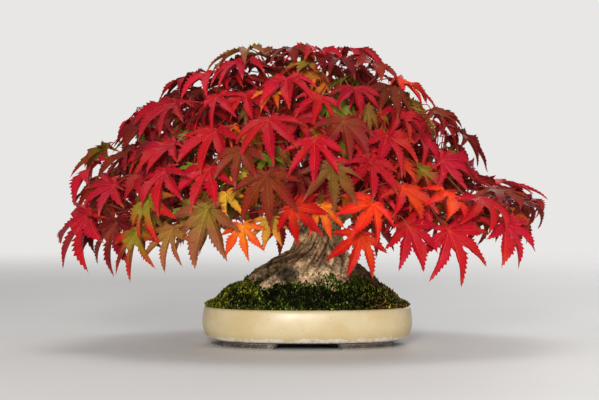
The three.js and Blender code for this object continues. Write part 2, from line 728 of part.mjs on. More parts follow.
// The leaves wanted on each shoot: the front ones as seen, then the fill
function wantedShoots() {
  const random = seeded(20211);
  const vary = (spread) => (2 * random() - 1) * spread;
  const wanted = FRONT_SHOOTS.map(([tint, leaves]) => ({
    tint,
    leaves: leaves.map(([x, z, lean, length]) => {
      const direction = frontDirection(x, z);
      const turn = turnForLean(direction, THREE.MathUtils.degToRad(lean));
      const tilt = LEAF_TILT + vary(FRONT_TILT_VARIES);
      return { ...leafFrame(direction, turn), length, tilt, roll: vary(FRONT_ROLL_VARIES) };
    }),
  }));
  for (let i = 0; i < FILL_TRIES && wanted.length < MOST_SHOOTS; i++) {
    const up = THREE.MathUtils.lerp(FILL_HIGH, FILL_LOW, (i + 0.5) / FILL_TRIES);
    const round = i * GOLDEN_ANGLE;
    const level = Math.sqrt(1 - up * up);
    const spot = leafFrame(new THREE.Vector3(level * Math.cos(round), level * Math.sin(round), up), 0);
    const isNear = (leaf) => leaf.hub.distanceTo(spot.hub) < FILL_SPACING;
    if (wanted.some((shoot) => shoot.leaves.some(isNear))) continue;
    const leaves = FILL_LEAVES.map(([down, aside, turn]) => {
      const place = spot.hub
        .clone()
        .addScaledVector(spot.along, down + vary(FILL_SHIFT))
        .addScaledVector(spot.across, aside + vary(FILL_SHIFT));
      const frame = leafFrame(directionTo(place), turn + vary(FILL_TURN));
      const length = FILL_LENGTH + vary(FILL_SPREAD);
      const tilt = LEAF_TILT + vary(FILL_TILT_VARIES);
      return { ...frame, length, tilt, roll: vary(FILL_ROLL_VARIES) };
    });
    wanted.push({ tint: FILL_TINTS[wanted.length % FILL_TINTS.length], leaves });
  }
  return wanted;
}

// All leafy shoots, with every leaf settled clear of the leaves and stems before it
function growShoots() {
  const shoots = wantedShoots().map(({ tint, leaves }) => ({ tint, leaves, ...shootLine(leaves) }));
  const stems = shoots.map(({ foot, fork }) => [foot, fork]);
  const settled = [];
  const stalks = [];
  const isClear = (leaf, shoot) => {
    const stalk = stalkLine(leaf);
    return !(
      settled.some((other) => leavesMeet(leaf, other) || stemMeetsLeaf(stalk, other)) ||
      stalks.some((other) => stemMeetsLeaf(other.line, leaf)) ||
      stems.some((other) => stemMeetsLeaf(other, leaf)) ||
      stalks.some((other) => other.shoot !== shoot && stemsMeet(other.line, stalk, STEM_CLEARANCE))
    );
  };
  for (const shoot of shoots) {
    shoot.leaves = shoot.leaves.filter((leaf, order) => {
      leaf.base = shoot.fork.clone().lerp(shoot.foot, STALK_STEP * order);
      const tilt = leaf.tilt;
      const settles = POSTURES.some(({ lift, change }) => {
        leaf.lift = lift;
        leaf.tilt = tilt + change;
        return leafPoint(leaf, 0, 0).z < CROWN_TOP_Z && isClear(leaf, shoot);
      });
      if (!settles) return false;
      settled.push(leaf);
      stalks.push({ shoot, line: stalkLine(leaf) });
      return true;
    });
  }
  return shoots;
}

// A leaf: a fan over the outline, the same on both faces, closing to a point at each lobe's tip,
// with a three-sided stalk that grows out of the notch behind its hub
function makeLeaf(leaf) {
  const thick = leaf.normal.clone().multiplyScalar(BLADE_THICK / 2);
  const points = [leafPoint(leaf, 0, 0).add(thick), leafPoint(leaf, 0, 0).sub(thick)];
  const add = (point) => points.push(point) - 1;
  const corners = OUTLINE.map(({ at, tip, stalk }) => {
    const point = leafPoint(leaf, at[0] * leaf.length, at[1] * leaf.length);
    if (tip) {
      const end = add(point);
      return { top: end, bottom: end, nextBottom: end };
    }
    const top = add(point.clone().add(thick));
    if (!stalk) {
      const bottom = add(point.clone().sub(thick));
      return { top, bottom, nextBottom: bottom };
    }
    const aside = leaf.across.clone().multiplyScalar(STALK_RADIUS);
    const near = add(point.clone().sub(thick).add(aside));
    const far = add(point.clone().sub(thick).sub(aside));
    return { top, bottom: near, nextBottom: far, stalk };
  });
  const triangles = [];
  corners.forEach((corner, i) => {
    const next = corners[(i + 1) % corners.length];
    triangles.push(0, corner.top, next.top, 1, next.bottom, corner.nextBottom);
    if (corner.top !== corner.nextBottom) triangles.push(corner.top, corner.nextBottom, next.top);
    if (next.top !== next.bottom) triangles.push(corner.nextBottom, next.bottom, next.top);
  });
  const { top, bottom: near, nextBottom: far } = corners.find(({ stalk }) => stalk);
  triangles.push(1, far, near);
  const line = stalkLine(leaf);
  let ring = [near, top, far];
  for (let i = line.length - 2; i >= 0; i--) {
    const ahead = line[i + 1].clone().sub(line[i]);
    const along = i ? ahead.add(line[i].clone().sub(line[i - 1])).normalize() : ahead.normalize();
    const side = leaf.across.clone().addScaledVector(along, -along.dot(leaf.across)).normalize();
    const next = threeRound(line[i], along, side, STALK_RADIUS, -30).map(add);
    for (let j = 0; j < 3; j++) {
      const k = (j + 1) % 3;
      triangles.push(next[j], next[k], ring[k], next[j], ring[k], ring[j]);
    }
    ring = next;
  }
  triangles.push(ring[0], ring[2], ring[1]);
  return solidOf(indexed(points, triangles));
}

function makeShoot(name, { tint, leaves, fork, foot }) {
  const over = fork.clone().sub(foot).normalize().multiplyScalar(SHOOT_RADIUS);
  const stem = tube([foot, fork.clone().add(over)], [SHOOT_RADIUS, SHOOT_RADIUS], 4);
  const material = new THREE.MeshStandardMaterial({ color: LEAF_TINTS[tint], roughness: 0.6, metalness: 0 });
  return meshOf(name, joined([stem, ...leaves.map(makeLeaf)]), material);
}

// Limbs and branches, and the line of each branch
function makeBranches() {
  const parts = [];
  const lines = [];
  for (const limb of LIMBS) {
    const { points, radii } = smoothRun(limb, 6);
    parts.push(tube(points, radii, 6));
    lines.push(points);
  }
  for (const { limb, at, mid, end } of BRANCHES) {
    const [x, y, z] = LIMBS[limb][at];
    const radius = Math.min(BRANCH_RADIUS, LIMBS[limb][at][3]);
    const midRadius = (radius + BRANCH_END_RADIUS) / 2;
    const given = [[x, y, z, radius], [...mid, midRadius], [...end, BRANCH_END_RADIUS]];
    const { points, radii } = smoothRun(given, 4);
    parts.push(tube(points, radii, 5));
    lines.push(points);
  }
  return { branches: joined(parts), lines };
}

// A twig to the foot of every shoot. Each grows out of a facet of a branch, whose three corners are
// its first ring: the nearest facet that looks towards the shoot and from where the way is clear.
function growTwigs(wood, lines, shoots) {
  const made = wood.getMesh();
  const points = [];
  for (let i = 0; i < made.vertProperties.length; i += 3) {
    points.push(new THREE.Vector3(...made.vertProperties.slice(i, i + 3)));
  }
  const facets = [];
  for (let i = 0; i < made.triVerts.length; i += 3) facets.push([...made.triVerts.slice(i, i + 3)]);
  const branchFacets = facets.map((corners) => facetOf(corners.map((corner) => points[corner])));
  const taken = new Set();
  const twigs = [];
  for (const { foot, fork } of shoots) {
    const out = fork.clone().sub(foot).normalize();
    const tip = foot.clone().addScaledVector(out, -GAP);
    const before = tip.clone().addScaledVector(out, -TWIG_STRAIGHT);
    const choices = [];
    branchFacets.forEach(({ plane, middle, narrow }, index) => {
      const way = before.clone().sub(middle);
      const facing = way.dot(plane.normal) / way.length();
      if (taken.has(index) || facing < TWIG_FACING || narrow < TWIG_RADIUS || middle.z < TWIG_LOWEST) return;
      choices.push({ index, middle, cost: way.length() * (1 + TWIG_SQUARE * (1 - facing)) });
    });
    choices.sort((a, b) => a.cost - b.cost);
    const chosen = choices.find(({ middle }) => {
      const way = before.clone().sub(middle).normalize();
      const line = [middle.clone().addScaledVector(way, TWIG_COLLAR), before, tip];
      const meets = (others, clearance) => others.some((other) => stemsMeet(line, other, clearance));
      return !meets(lines, TWIG_TO_BRANCH) && !meets(twigs, TWIG_TO_TWIG);
    });
    taken.add(chosen.index);
    const way = before.clone().sub(chosen.middle).normalize();
    const collar = chosen.middle.clone().addScaledVector(way, TWIG_COLLAR);
    twigs.push([chosen.middle, before, tip]);
    let ring = facets[chosen.index];
    const first = points[ring[0]].clone().sub(chosen.middle);
    for (const [centre, along, radius] of [
      [collar, way, TWIG_COLLAR_RADIUS],
      [before, way.clone().add(out).normalize(), TWIG_RADIUS],
      [tip, out, SHOOT_RADIUS],
    ]) {
      const side = first.addScaledVector(along, -along.dot(first)).normalize();
      const next = threeRound(centre, along, side, radius, 0).map((point) => points.push(point) - 1);
      for (let j = 0; j < 3; j++) {
        const k = (j + 1) % 3;
        facets.push([ring[j], ring[k], next[k]], [ring[j], next[k], next[j]]);
      }
      ring = next;
    }
    facets.push(ring);
  }
  return solidOf(indexed(points, facets.filter((_, index) => !taken.has(index)).flat()));
}

// A facet's plane, middle and smallest height
function facetOf(corners) {
  const plane = new THREE.Plane().setFromCoplanarPoints(...corners);
  const sides = corners.map((p, i) => p.distanceTo(corners[(i + 1) % 3]));
  const area = new THREE.Triangle(...corners).getArea();
  return { plane, middle: middleOf(corners), narrow: (2 * area) / Math.max(...sides) };
}

const tree = new THREE.Group();
const shoots = growShoots();
const treeHole = makeFootOfTree(GAP);
tree.add(makePot());
tree.add(makeScreen("drainage_screen_left", -HOLE_X));
tree.add(makeScreen("drainage_screen_right", HOLE_X));
tree.add(makeSoil(treeHole));
tree.add(makeMoss(treeHole));
const { trunk, roots } = makeFootOfTree(0);
const { branches, lines } = makeBranches();
tree.add(meshOf("tree_wood", growTwigs(joined([trunk, roots, branches]), lines, shoots), WOOD));
shoots.forEach((shoot, i) => tree.add(makeShoot("leaf_spray_" + String(i + 1).padStart(2, "0"), shoot)));

// The part's origin is under the middle of its bounding box, where it stands
const bounds = new THREE.Box3().setFromObject(tree);
const middle = bounds.getCenter(new THREE.Vector3());
tree.position.set(-middle.x, -middle.y, -bounds.min.z);

export default tree;
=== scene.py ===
"""A small Japanese maple bonsai in autumn leaf: fine leaves, bark, moss and glaze over the fixed solids."""

import math
import random

import bpy
import numpy as np
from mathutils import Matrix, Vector, noise


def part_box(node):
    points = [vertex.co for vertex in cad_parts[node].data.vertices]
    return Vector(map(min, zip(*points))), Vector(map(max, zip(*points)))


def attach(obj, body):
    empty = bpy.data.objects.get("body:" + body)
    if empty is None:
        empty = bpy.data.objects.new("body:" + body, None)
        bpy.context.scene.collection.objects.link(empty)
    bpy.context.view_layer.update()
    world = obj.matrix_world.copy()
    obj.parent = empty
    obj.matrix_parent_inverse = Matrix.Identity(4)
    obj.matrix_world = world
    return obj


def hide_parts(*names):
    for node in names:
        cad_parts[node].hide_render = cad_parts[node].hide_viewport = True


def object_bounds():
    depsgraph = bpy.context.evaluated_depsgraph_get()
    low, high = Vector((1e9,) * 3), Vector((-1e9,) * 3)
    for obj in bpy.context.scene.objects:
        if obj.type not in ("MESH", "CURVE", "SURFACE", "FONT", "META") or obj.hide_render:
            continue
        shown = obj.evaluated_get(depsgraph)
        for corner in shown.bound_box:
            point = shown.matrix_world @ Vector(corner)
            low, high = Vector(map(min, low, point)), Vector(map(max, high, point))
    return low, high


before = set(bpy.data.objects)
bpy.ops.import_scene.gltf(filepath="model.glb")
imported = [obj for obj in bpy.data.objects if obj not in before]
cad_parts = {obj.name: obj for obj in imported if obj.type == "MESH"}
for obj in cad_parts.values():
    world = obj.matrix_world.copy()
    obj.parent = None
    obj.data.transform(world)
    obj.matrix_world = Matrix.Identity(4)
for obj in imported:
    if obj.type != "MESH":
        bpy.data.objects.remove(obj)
CAD_LOW, CAD_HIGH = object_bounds()

# Sizes of the tree are in millimetres, about the middle of the pot, as the solids were drawn
MM = 0.001
POT_LOW, POT_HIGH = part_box("pot")
POT_MIDDLE = np.array([(POT_LOW.x + POT_HIGH.x) / 2, (POT_LOW.y + POT_HIGH.y) / 2, POT_LOW.z])
BOX_LOW, BOX_HIGH = ((np.array(list(corner)) - POT_MIDDLE) / MM for corner in (CAD_LOW, CAD_HIGH))

# Pot, with its profile as inset and height
OVAL_POWER = 2.5
POT_SIDES = 144
POT_HALF_LENGTH = 77.5
POT_HALF_WIDTH = 57
RIM_Z = 29
FOOT_HEIGHT = 4.6
FLOOR_Z = 10
POT_PROFILE = [
    (7.5, FOOT_HEIGHT), (5.6, 5.3), (3.6, 6.6), (2.0, 8.6), (1.0, 11), (0.25, 14), (0, 17), (0.12, 20),
    (0.5, 23), (0.8, 25.2), (1.2, 27), (1.6, 28.1), (2.5, 28.8), (3.5, RIM_Z), (4.5, RIM_Z), (5.4, 28.7),
    (6.2, 28.0), (6.6, 27), (7.1, 22), (8.2, 14), (9.6, 11), (12, FLOOR_Z),
]
FOOT_WIDTH = 7
FOOT_INSET = 9.5
FOOT_FROM_X = 22
FOOT_TO_X = 64
FOOT_TAPER = 3
FOOT_SINK = 1.5
FOOT_BEVEL = 0.5
FOOT_STATIONS = 14
HOLE_RADIUS = 6
HOLE_X = 34
HOLE_SIDES = 32

# Mound of soil under a mat of moss, whose edge is given as inset and height over the rim
MOUND_EDGE_Z = 28.7
MOUND_RISE = 19
MOUND_POWER = 3.3
SOIL_EDGE_INSET = 7.2
SOIL_GAP = 0.35
MOSS_THICK = 2.2
MOSS_CLUMP = 1.1
MOSS_EDGE_INSET = 3.4
MOSS_EDGE = [
    (SOIL_EDGE_INSET, 0.4), (MOSS_EDGE_INSET, 0.4), (MOSS_EDGE_INSET + 0.1, 1), (MOSS_EDGE_INSET + 0.9, 1.9),
]
MOSS_MIDDLE = 0.3
MOSS_UNDER_SHARES = [MOSS_MIDDLE, 0.5, 0.7, 0.86]
MOSS_TOP_RINGS = 46
# Rounded rim of the mat, as width and height
MOSS_ROUND = (3.4, 2.4)
MOSS_LUMP = 0.9
MOSS_GRAIN = 0.45
MOSS_EDGE_RISE = 3.4
MOSS_BUDS = 9500
CREEP_BUDS = 2400
RIM_BUDS = 900
BUD_SIDES = 5
BUD_WIDE = (0.5, 1.05)
BUD_TALL = (0.9, 2.1)
# Buds are darkened at their base as painted shade and brightened at their tip as a painted highlight
BUD_PAINTED_SHADE = 0.08
BUD_PAINTED_HIGHLIGHT = 2.0
# Yellow-green at the left, green tufts, dark middle and ochre at the right
MOSS_COLOURS = [(108, 112, 26), (76, 94, 26), (44, 45, 18), (100, 68, 30)]

# Trunk and the swell of its base between the roots, as rings of z, x, y, half width and half depth
TRUNK_SIDES = 40
TRUNK_RINGS = [
    (20, 6, 0, 20, 17),
    (38, 6, 0, 27, 23),
    (48, 6.5, 0, 35, 28),
    (54, 6.8, 0, 29, 23.5),
    (61, 7.4, 0.5, 23.5, 19.5),
    (69.5, 7.6, 1, 19.5, 16.5),
    (77, 8.6, 1, 16.6, 14.5),
    (84, 9, 1, 15, 13),
    (89, 9, 1, 12, 10.5),
]
SWELL_RINGS = [
    (36, 4, 0, 52, 38),
    (45, 4, 0, 47.5, 34),
    (50, 4, 0, 40.5, 29.5),
    (55, 5, 0, 33, 25.5),
    (60, 6, 0, 27, 22.3),
    (66, 7, 0.5, 22, 19),
    (73, 7.8, 1, 18, 15.5),
]
FLUTES = 5
FLUTE_DEPTH = 0.13
# Roots as x, y, height over the mound and radius
SURFACE_ROOTS = [
    [(-4, -4, 11, 9), (-22, -9, 4.5, 8), (-38, -14, 1, 5.4), (-52, -20, 0, 1.8)],
    [(2, -12, 8, 9), (-14, -23, 2.4, 7.4), (-28, -32, 0.4, 4.8), (-39, -39, 0, 1.6)],
    [(8, -13, 7, 8), (13, -27, 1.4, 6), (20, -38, 0, 1.8)],
    [(18, -5, 9, 9), (35, -10, 2.8, 7.2), (47, -17, 0.4, 4.6), (56, -24, 0, 1.6)],
    [(20, 4, 8, 8), (38, 10, 2, 6.4), (52, 17, 0, 3.6), (60, 21, 0, 1.4)],
    [(10, 12, 7, 8), (19, 27, 1.8, 6.2), (26, 39, 0, 1.8)],
    [(0, 10, 8, 8), (-14, 25, 2, 6.4), (-26, 36, 0, 1.8)],
]
ROOT_FLATNESS = 0.72
ROOT_BED = 1.05
BARK_VOXEL = 0.9
BARK_LEAN = 0.03
TRUNK_X = 7
# Hollow by the left front root: centre, size and depth of its dent; its bark is darkened as painted shade
HOLLOW_AT = np.array([-15, -27.5, 52.5])
HOLLOW_SIZE = np.array([8.5, 16, 5.5])
HOLLOW_DEPTH = 4
# Bark: up the trunk, crumbly foot, dark streaks, stain over the roots, green-grey at the upper right
BARK_COLOURS = [(238, 198, 150), (255, 222, 176), (76, 53, 30), (104, 84, 46), (150, 140, 100)]

# Limbs: centre lines as x, y, z, radius
LIMBS = [
    [(4, 0, 78, 8), (-2, -2, 90, 5.6), (-13, -6, 108, 4.8), (-22, -4, 130, 3.8), (-30, 2, 150, 2.8)],
    [(14, 0, 78, 8), (19, -1, 90, 5.4), (17, -4, 106, 4.8), (26, -2, 128, 3.8), (30, 2, 150, 2.8)],
    [(9, 4, 80, 8), (8, 9, 95, 5.2), (4, 15, 115, 4.4), (0, 16, 140, 3.6), (-4, 8, 162, 2.8)],
]
# Branches: limb, point on it, middle and end
BRANCHES = [
    (0, 1, (-34, -14, 104), (-74, -26, 108)),
    (0, 2, (-44, 6, 118), (-86, 14, 126)),
    (0, 2, (-22, -38, 114), (-34, -68, 108)),
    (0, 4, (-44, -8, 160), (-60, -12, 162)),
    (1, 1, (46, -14, 102), (84, -30, 104)),
    (1, 2, (30, -36, 114), (32, -68, 108)),
    (1, 2, (50, 12, 116), (86, 24, 112)),
    (1, 4, (44, -6, 160), (60, -14, 158)),
    (2, 1, (-14, 38, 108), (-34, 68, 106)),
    (2, 1, (22, 38, 106), (38, 68, 104)),
    (2, 3, (-4, 40, 150), (-6, 56, 154)),
    (2, 4, (-4, -10, 168), (-6, -34, 170)),
]
BRANCH_RADIUS = 3
BRANCH_END_RADIUS = 1.9
TWIG_RADIUS = 1.35
TWIG_LOWEST = 92
TWIG_SWAY = 2
TWIG_COLOUR = (96, 74, 58)
SHOOT_RADIUS = 1.0
SHOOT_COLOUR = (118, 62, 44)
STALK_RADIUS = 0.42
STALK_COLOURS = [(176, 30, 40), (150, 84, 40)]
RED_STALKS = 0.7

# Crown: a dome about DOME_CENTRE
DOME_CENTRE = np.array([0.0, 0.0, 62.0])
DOME_LEFT = 190
DOME_RIGHT = 150
DOME_LOW_RIGHT = 198
DOME_DEPTH = 143
DOME_HEIGHT = 174
DOME_SKIRT = 300
DOME_POWER = 1.8
DOME_LOW_FROM = 0.2
DOME_LOW_TO = 0.46
LEAF_LEVEL = 0.92

# Leaf: lobes as angle from the middle one, length, half width and teeth on each side
LOBES = [
    (0, 1.0, 0.124, 9),
    (38, 0.93, 0.116, 9),
    (76, 0.68, 0.092, 7),
    (118, 0.33, 0.052, 4),
]
NOTCHES = [(19, 0.3), (57, 0.27), (98, 0.16)]
STALK_NOTCH = 0.07
SLIMNESS = (0.7, 0.98)
# Half width of a lobe from its notch to its tip, as shares: widest low down, with a long drawn-out tip
LOBE_PROFILE = [
    (0.1, 0.92), (0.22, 1.0), (0.36, 0.95), (0.5, 0.78), (0.63, 0.55),
    (0.75, 0.34), (0.85, 0.19), (0.93, 0.09), (1, 0),
]
TOOTH = 0.032
# How far a tooth's tip stands ahead of its base, in steps between teeth
TOOTH_AHEAD = 0.95
FINE_TEMPLATES = 10
PLAIN_TEMPLATES = 8
# A leaf's outline for telling whether leaves meet: half width of the longer lobes and where it is reached
MEET_HALF = 0.13
MEET_AT = 0.5
LEAF_CLEARANCE = 1.2
STEM_REACH = 40
BLADE_HALF_THICK = 0.15
STALK_STEP = 0.045
BEND_BACK = 7
BEND_DOWN = 6.5
# Fork and foot of a shoot's stem, as way up the slope and depth
STEM_ENDS = {"fork": (9, 14), "foot": (15, 27)}
LIFTS = [0, 3, -3, -6, 6, -9, -12, -15, 9, 12]
TILT_CHANGES = [0, 0.12, -0.12]
# How far tilt and roll vary in the leaves seen from the front and in the rest
LEAF_TILT = 0.12
FRONT_VARIES = (0.07, 0.12)
FILL_VARIES = (0.08, 0.14)

# Seeds of the layout, as in the solids, and of the inner leaves, leaf forms, twigs and moss
LAYOUT_SEED = 20211
INNER_SEED = 7
LEAF_SEED = 11
TWIG_SEED = 31
MOSS_SEED = 5

# Colours of a leaf's middle and of its tips, as seen in daylight
COLOURS = {
    "crimson": ((182, 14, 40), (194, 10, 36)),
    "bright": ((206, 18, 36), (212, 10, 38)),
    "scarlet": ((236, 58, 28), (220, 20, 28)),
    "orange": ((240, 142, 44), (234, 82, 26)),
    "yellow": ((218, 176, 58), (240, 148, 50)),
    "green": ((122, 140, 30), (150, 122, 32)),
    "olive": ((150, 122, 40), (158, 88, 56)),
    "tan": ((150, 100, 44), (158, 78, 46)),
    "brown": ((134, 50, 24), (148, 28, 26)),
    "maroon": ((112, 24, 22), (132, 10, 24)),
    "turning": ((138, 126, 28), (196, 26, 30)),
}
PALE_TIP = (222, 120, 96)
# Leafy shoots seen from the front: slot, then each leaf's hub x and z, lean, length and colour
FRONT_SHOOTS = [
    ("maroon", (-12, 217, 5, 33, "brown"), (-44, 206, -50, 35, "crimson"), (22, 208, 35, 34, "maroon")),
    ("crimson", (-15, 192, 0, 37, "crimson"), (9, 181, -18, 29, "bright"), (33, 186, 8, 31, "crimson")),
    ("crimson", (57, 186, 25, 31, "brown"), (65, 171, 18, 34, "bright"), (94, 168, 48, 32, "crimson")),
    ("crimson", (-64, 180, -12, 35, "crimson"), (-92, 174, -45, 38, "crimson"), (-44, 183, 10, 29, "bright")),
    ("crimson", (-27, 161, 4, 41, "bright"), (-65, 157, -18, 39, "bright"), (-6, 169, 15, 28, "crimson")),
    ("scarlet", (4, 146, 0, 35, "bright"), (24, 162, 8, 37, "brown"), (-44, 140, -12, 31, "brown")),
    ("crimson", (57, 157, 22, 37, "bright"), (43, 136, 0, 35, "bright"), (84, 158, 30, 34, "crimson")),
    ("maroon", (-116, 164, -55, 34, "maroon"), (-98, 151, -38, 36, "maroon"), (-130, 145, -45, 35, "maroon")),
    ("crimson", (-140, 122, -38, 39, "brown"), (-116, 135, -14, 36, "crimson"),
     (-154, 104, -62, 35, "crimson")),
    ("crimson", (-152, 97, -28, 47, "crimson"), (-136, 93, -10, 43, "maroon"),
     (-123, 106, -22, 33, "crimson")),
    ("olive", (-115, 86, 0, 36, "turning"), (-105, 106, 20, 34, "turning"), (-92, 124, -6, 34, "crimson")),
    ("olive", (-68, 102, -12, 44, "olive"), (-69, 131, -22, 38, "bright"), (-90, 88, -14, 32, "tan")),
    ("olive", (-28, 125, 5, 40, "brown"), (16, 129, -4, 36, "tan")),
    ("orange", (-45, 92, 5, 28, "orange"), (-27, 98, -12, 25, "yellow"), (-11, 105, 42, 31, "scarlet")),
    ("orange", (45, 107, -32, 35, "scarlet"), (66, 118, 18, 33, "scarlet"), (9, 106, 12, 26, "orange")),
    ("scarlet", (38, 87, -20, 36, "scarlet"), (67, 91, 24, 36, "bright")),
    ("scarlet", (98, 88, 18, 44, "bright"), (95, 113, 4, 34, "scarlet"), (82, 136, 14, 33, "turning")),
    ("crimson", (117, 108, 30, 44, "bright"), (114, 131, 48, 35, "crimson"), (104, 150, 34, 35, "maroon")),
    ("crimson", (152, 108, 44, 44, "maroon"), (138, 124, 62, 37, "crimson"), (134, 92, 20, 36, "crimson")),
]
# The other shoots: tries, highest and lowest place, then each leaf's way down, way aside and turn
FILL_SPIRAL = (140, 1, 0.24)
FILL_SPACING = 27
FILL_TINTS = ["crimson", "scarlet", "maroon", "crimson", "orange", "crimson", "olive"]
FILL_LENGTH = (37, 4)
FILL_LEAVES = [(13, 0, 0), (-4, 20, 0.66), (-4, -20, -0.66)]
FILL_SHIFT = 4
FILL_TURN = 0.25
MOST_SHOOTS = 50
GOLDEN_ANGLE = math.pi * (3 - math.sqrt(5))
# Colours mixed over a shoot of each slot
SLOT_COLOURS = {
    "crimson": ["crimson", "bright", "crimson"],
    "scarlet": ["scarlet", "bright", "brown"],
    "maroon": ["crimson", "maroon", "brown"],
    "orange": ["orange", "scarlet", "yellow"],
    "olive": ["olive", "turning", "tan"],
}
# Inner leaves that fill the crown, from a spiral down the dome: tries, highest and lowest place, depths
# tried, distance from each other and from outer hubs, length, tilt and how bright they are, the deeper
# layers darkened as painted shade. The first stand out of the crown, and the last fill its heart.
INNER_LAYERS = [
    ((170, 0.97, 0.2), (-6, -3), (34, 8), (27, 34), (0.22, 0.46), 1),
    ((500, 1, 0.3), (-7, -4), (28, 14), (25, 33), (-0.2, 0.36), 1),
    ((1000, 1, 0.16), (0, 8), (17, 11), (22, 34), (-0.2, 0.36), 1),
    ((500, 1, 0.6), (4, 14), (17, 7), (22, 30), (-0.75, -0.35), 0.9),
    ((900, 1, 0.66), (3, 18), (11, 4), (15, 24), (-1.4, -0.7), 0.85),
    ((600, 1, 0.72), (12, 24), (14, 4), (20, 28), (-0.6, 0.3), 0.8),
    ((700, 1, 0.16), (11, 20), (18, 8), (27, 36), (-0.2, 0.36), 0.85),
    ((700, 0.98, 0.18), (24, 36), (19, 4), (28, 38), (-0.2, 0.36), 0.6),
    ((700, 0.98, 0.22), (38, 50), (20, 0), (30, 40), (-0.2, 0.36), 0.5),
]
INNER_DEPTH_STEPS = 4
INNER_DEPTH_STEP = 2.5
INNER_ROLL = 0.36
LONGEST_STALK = 46
# How far inner hubs and tips stay under the top of the solids, and how far all leaves stay in their box
TOP_MARGIN = 4
BOX_MARGIN = 0.3
# Over this height on the dome leaves point any way, so that the crown's top is closed
ANY_WAY_OVER = 0.86
WIDEST_TURN = 0.9
# Colours inside the crown seen from the front: x, z, radius and what is mixed there
INNER_PATCHES = [
    (-58, 118, 26, ["green", "green", "yellow", "orange"]),
    (-90, 137, 18, ["orange", "tan", "brown"]),
    (-32, 168, 22, ["orange", "tan", "bright"]),
    (2, 195, 10, ["orange", "bright"]),
    (49, 168, 13, ["orange", "tan", "bright"]),
    (-18, 100, 26, ["yellow", "orange", "green", "orange"]),
    (20, 104, 22, ["orange", "yellow", "orange"]),
    (68, 106, 34, ["scarlet", "orange", "scarlet", "bright"]),
    (18, 176, 12, ["green"]),
    (-104, 104, 24, ["olive", "brown", "crimson"]),
]
OUTSIDE_MIX = ["crimson", "brown", "bright", "crimson", "maroon", "bright", "turning"]
INNER_MIX = [
    "crimson", "brown", "olive", "bright", "crimson", "orange", "maroon", "crimson", "green", "bright",
]
# Lowest place of an inner leaf's tips by x, at the front and at the back, so that the trunk shows
FRONT_EDGE = ([-165, -120, -70, -35, -10, 25, 45, 100, 150, 180], [62, 62, 68, 84, 96, 96, 80, 62, 68, 90])
BACK_EDGE = ([-160, -80, 0, 80, 160], [70, 72, 82, 72, 70])

# Camera, from the photo's size, horizon and focal length in pixels
CAMERA_X = -5.8
CAMERA_DISTANCE = 1300
CAMERA_Z = 128
FOCAL_PIXELS = 1757
PHOTO_WIDTH = 599
PHOTO_HEIGHT = 400
HORIZON_ROW = 171
SENSOR = 36
# Floor, backdrop and lights in metres: lights as name, place, size, power and colour
FLOOR_FADE_FROM = 0.7
FLOOR_RADIUS = 1.6
BACKDROP = (232, 231, 229)
SKY = (0.92, 0.93, 0.95, 1)
SKY_STRENGTH = 0.3
LIGHTS_AIM = (0, 0, 0.12)
LIGHTS = [
    ("key", (-0.14, -1.6, 0.5), 0.35, 18, (1, 0.98, 0.95)),
    ("fill", (1.0, -1.0, 0.5), 0.8, 3, (1, 1, 1)),
    ("top", (0.0, 0.2, 1.5), 0.9, 6, (1, 1, 1)),
    ("back", (0.5, 1.5, 0.7), 0.9, 5, (1, 1, 1)),
]


def unit(vector):
    return vector / np.linalg.norm(vector, axis=-1, keepdims=True)


def polar(reach, turn):
    return np.stack([reach * np.cos(turn), reach * np.sin(turn)], axis=-1)


def distances(points, point):
    return np.linalg.norm(points - point, axis=-1)


def columns(*values):
    """Rows of points from their x, y and z, each of them one for all or one for each."""
    return np.stack(np.broadcast_arrays(*values), axis=-1)


def smoothstep(value, low, high):
    share = np.clip((value - low) / (high - low), 0, 1)
    return share * share * (3 - 2 * share)


def linear(colour):
    """A colour of 0 to 255 as the shaders count it."""
    share = np.asarray(colour, float) / 255
    return np.where(share <= 0.04045, share / 12.92, ((share + 0.055) / 1.055) ** 2.4)


def blend(colour, other, share):
    """Colours moved towards another, by a share for each of them."""
    return colour + (other - colour) * share[:, None]


def seeded(state):
    """The same random numbers from 0 to 1 as the solids were laid out with."""
    while True:
        state = (state * 16807) % 2147483647
        yield state / 2147483647


def noise_at(points, scale, seed, octaves=1):
    """Smooth noise of about -1 to 1 at points, with scale as waves a millimetre."""
    places = points * scale + seed
    if octaves == 1:
        return np.array([noise.noise(place) for place in places])
    return np.array([noise.fractal(place, 1.0, 2.0, octaves) for place in places])


# Pieces


def to_frame(points):
    return np.asarray(points, float) * MM + POT_MIDDLE


def from_frame(points):
    return (np.asarray(points, float) - POT_MIDDLE) / MM


def settings(made, **values):
    for key, value in values.items():
        setattr(made, key, value)
    return made


def add_object(name, data):
    made = bpy.data.objects.new(name, data)
    bpy.context.scene.collection.objects.link(made)
    return made


def add_mesh(name, points, faces):
    mesh = bpy.data.meshes.new(name)
    mesh.from_pydata(to_frame(points).tolist(), [], faces)
    return add_object(name, mesh)


def modified(helpers):
    """Points, normals and faces of the first helper with its modifiers; all helpers are removed."""
    mesh = bpy.data.meshes.new_from_object(helpers[0].evaluated_get(bpy.context.evaluated_depsgraph_get()))
    for helper in helpers:
        bpy.data.objects.remove(helper)
    points = from_frame([vertex.co for vertex in mesh.vertices])
    normals = np.array([vertex.normal for vertex in mesh.vertices])
    return points, normals, [tuple(face.vertices) for face in mesh.polygons]


# What the materials read at each point: kind, field and numbers
NOTES = {
    "tint": ("FLOAT_COLOR", "color", (3,)),
    "vein": ("FLOAT_VECTOR", "vector", (3,)),
    "under": ("FLOAT", "value", ()),
}


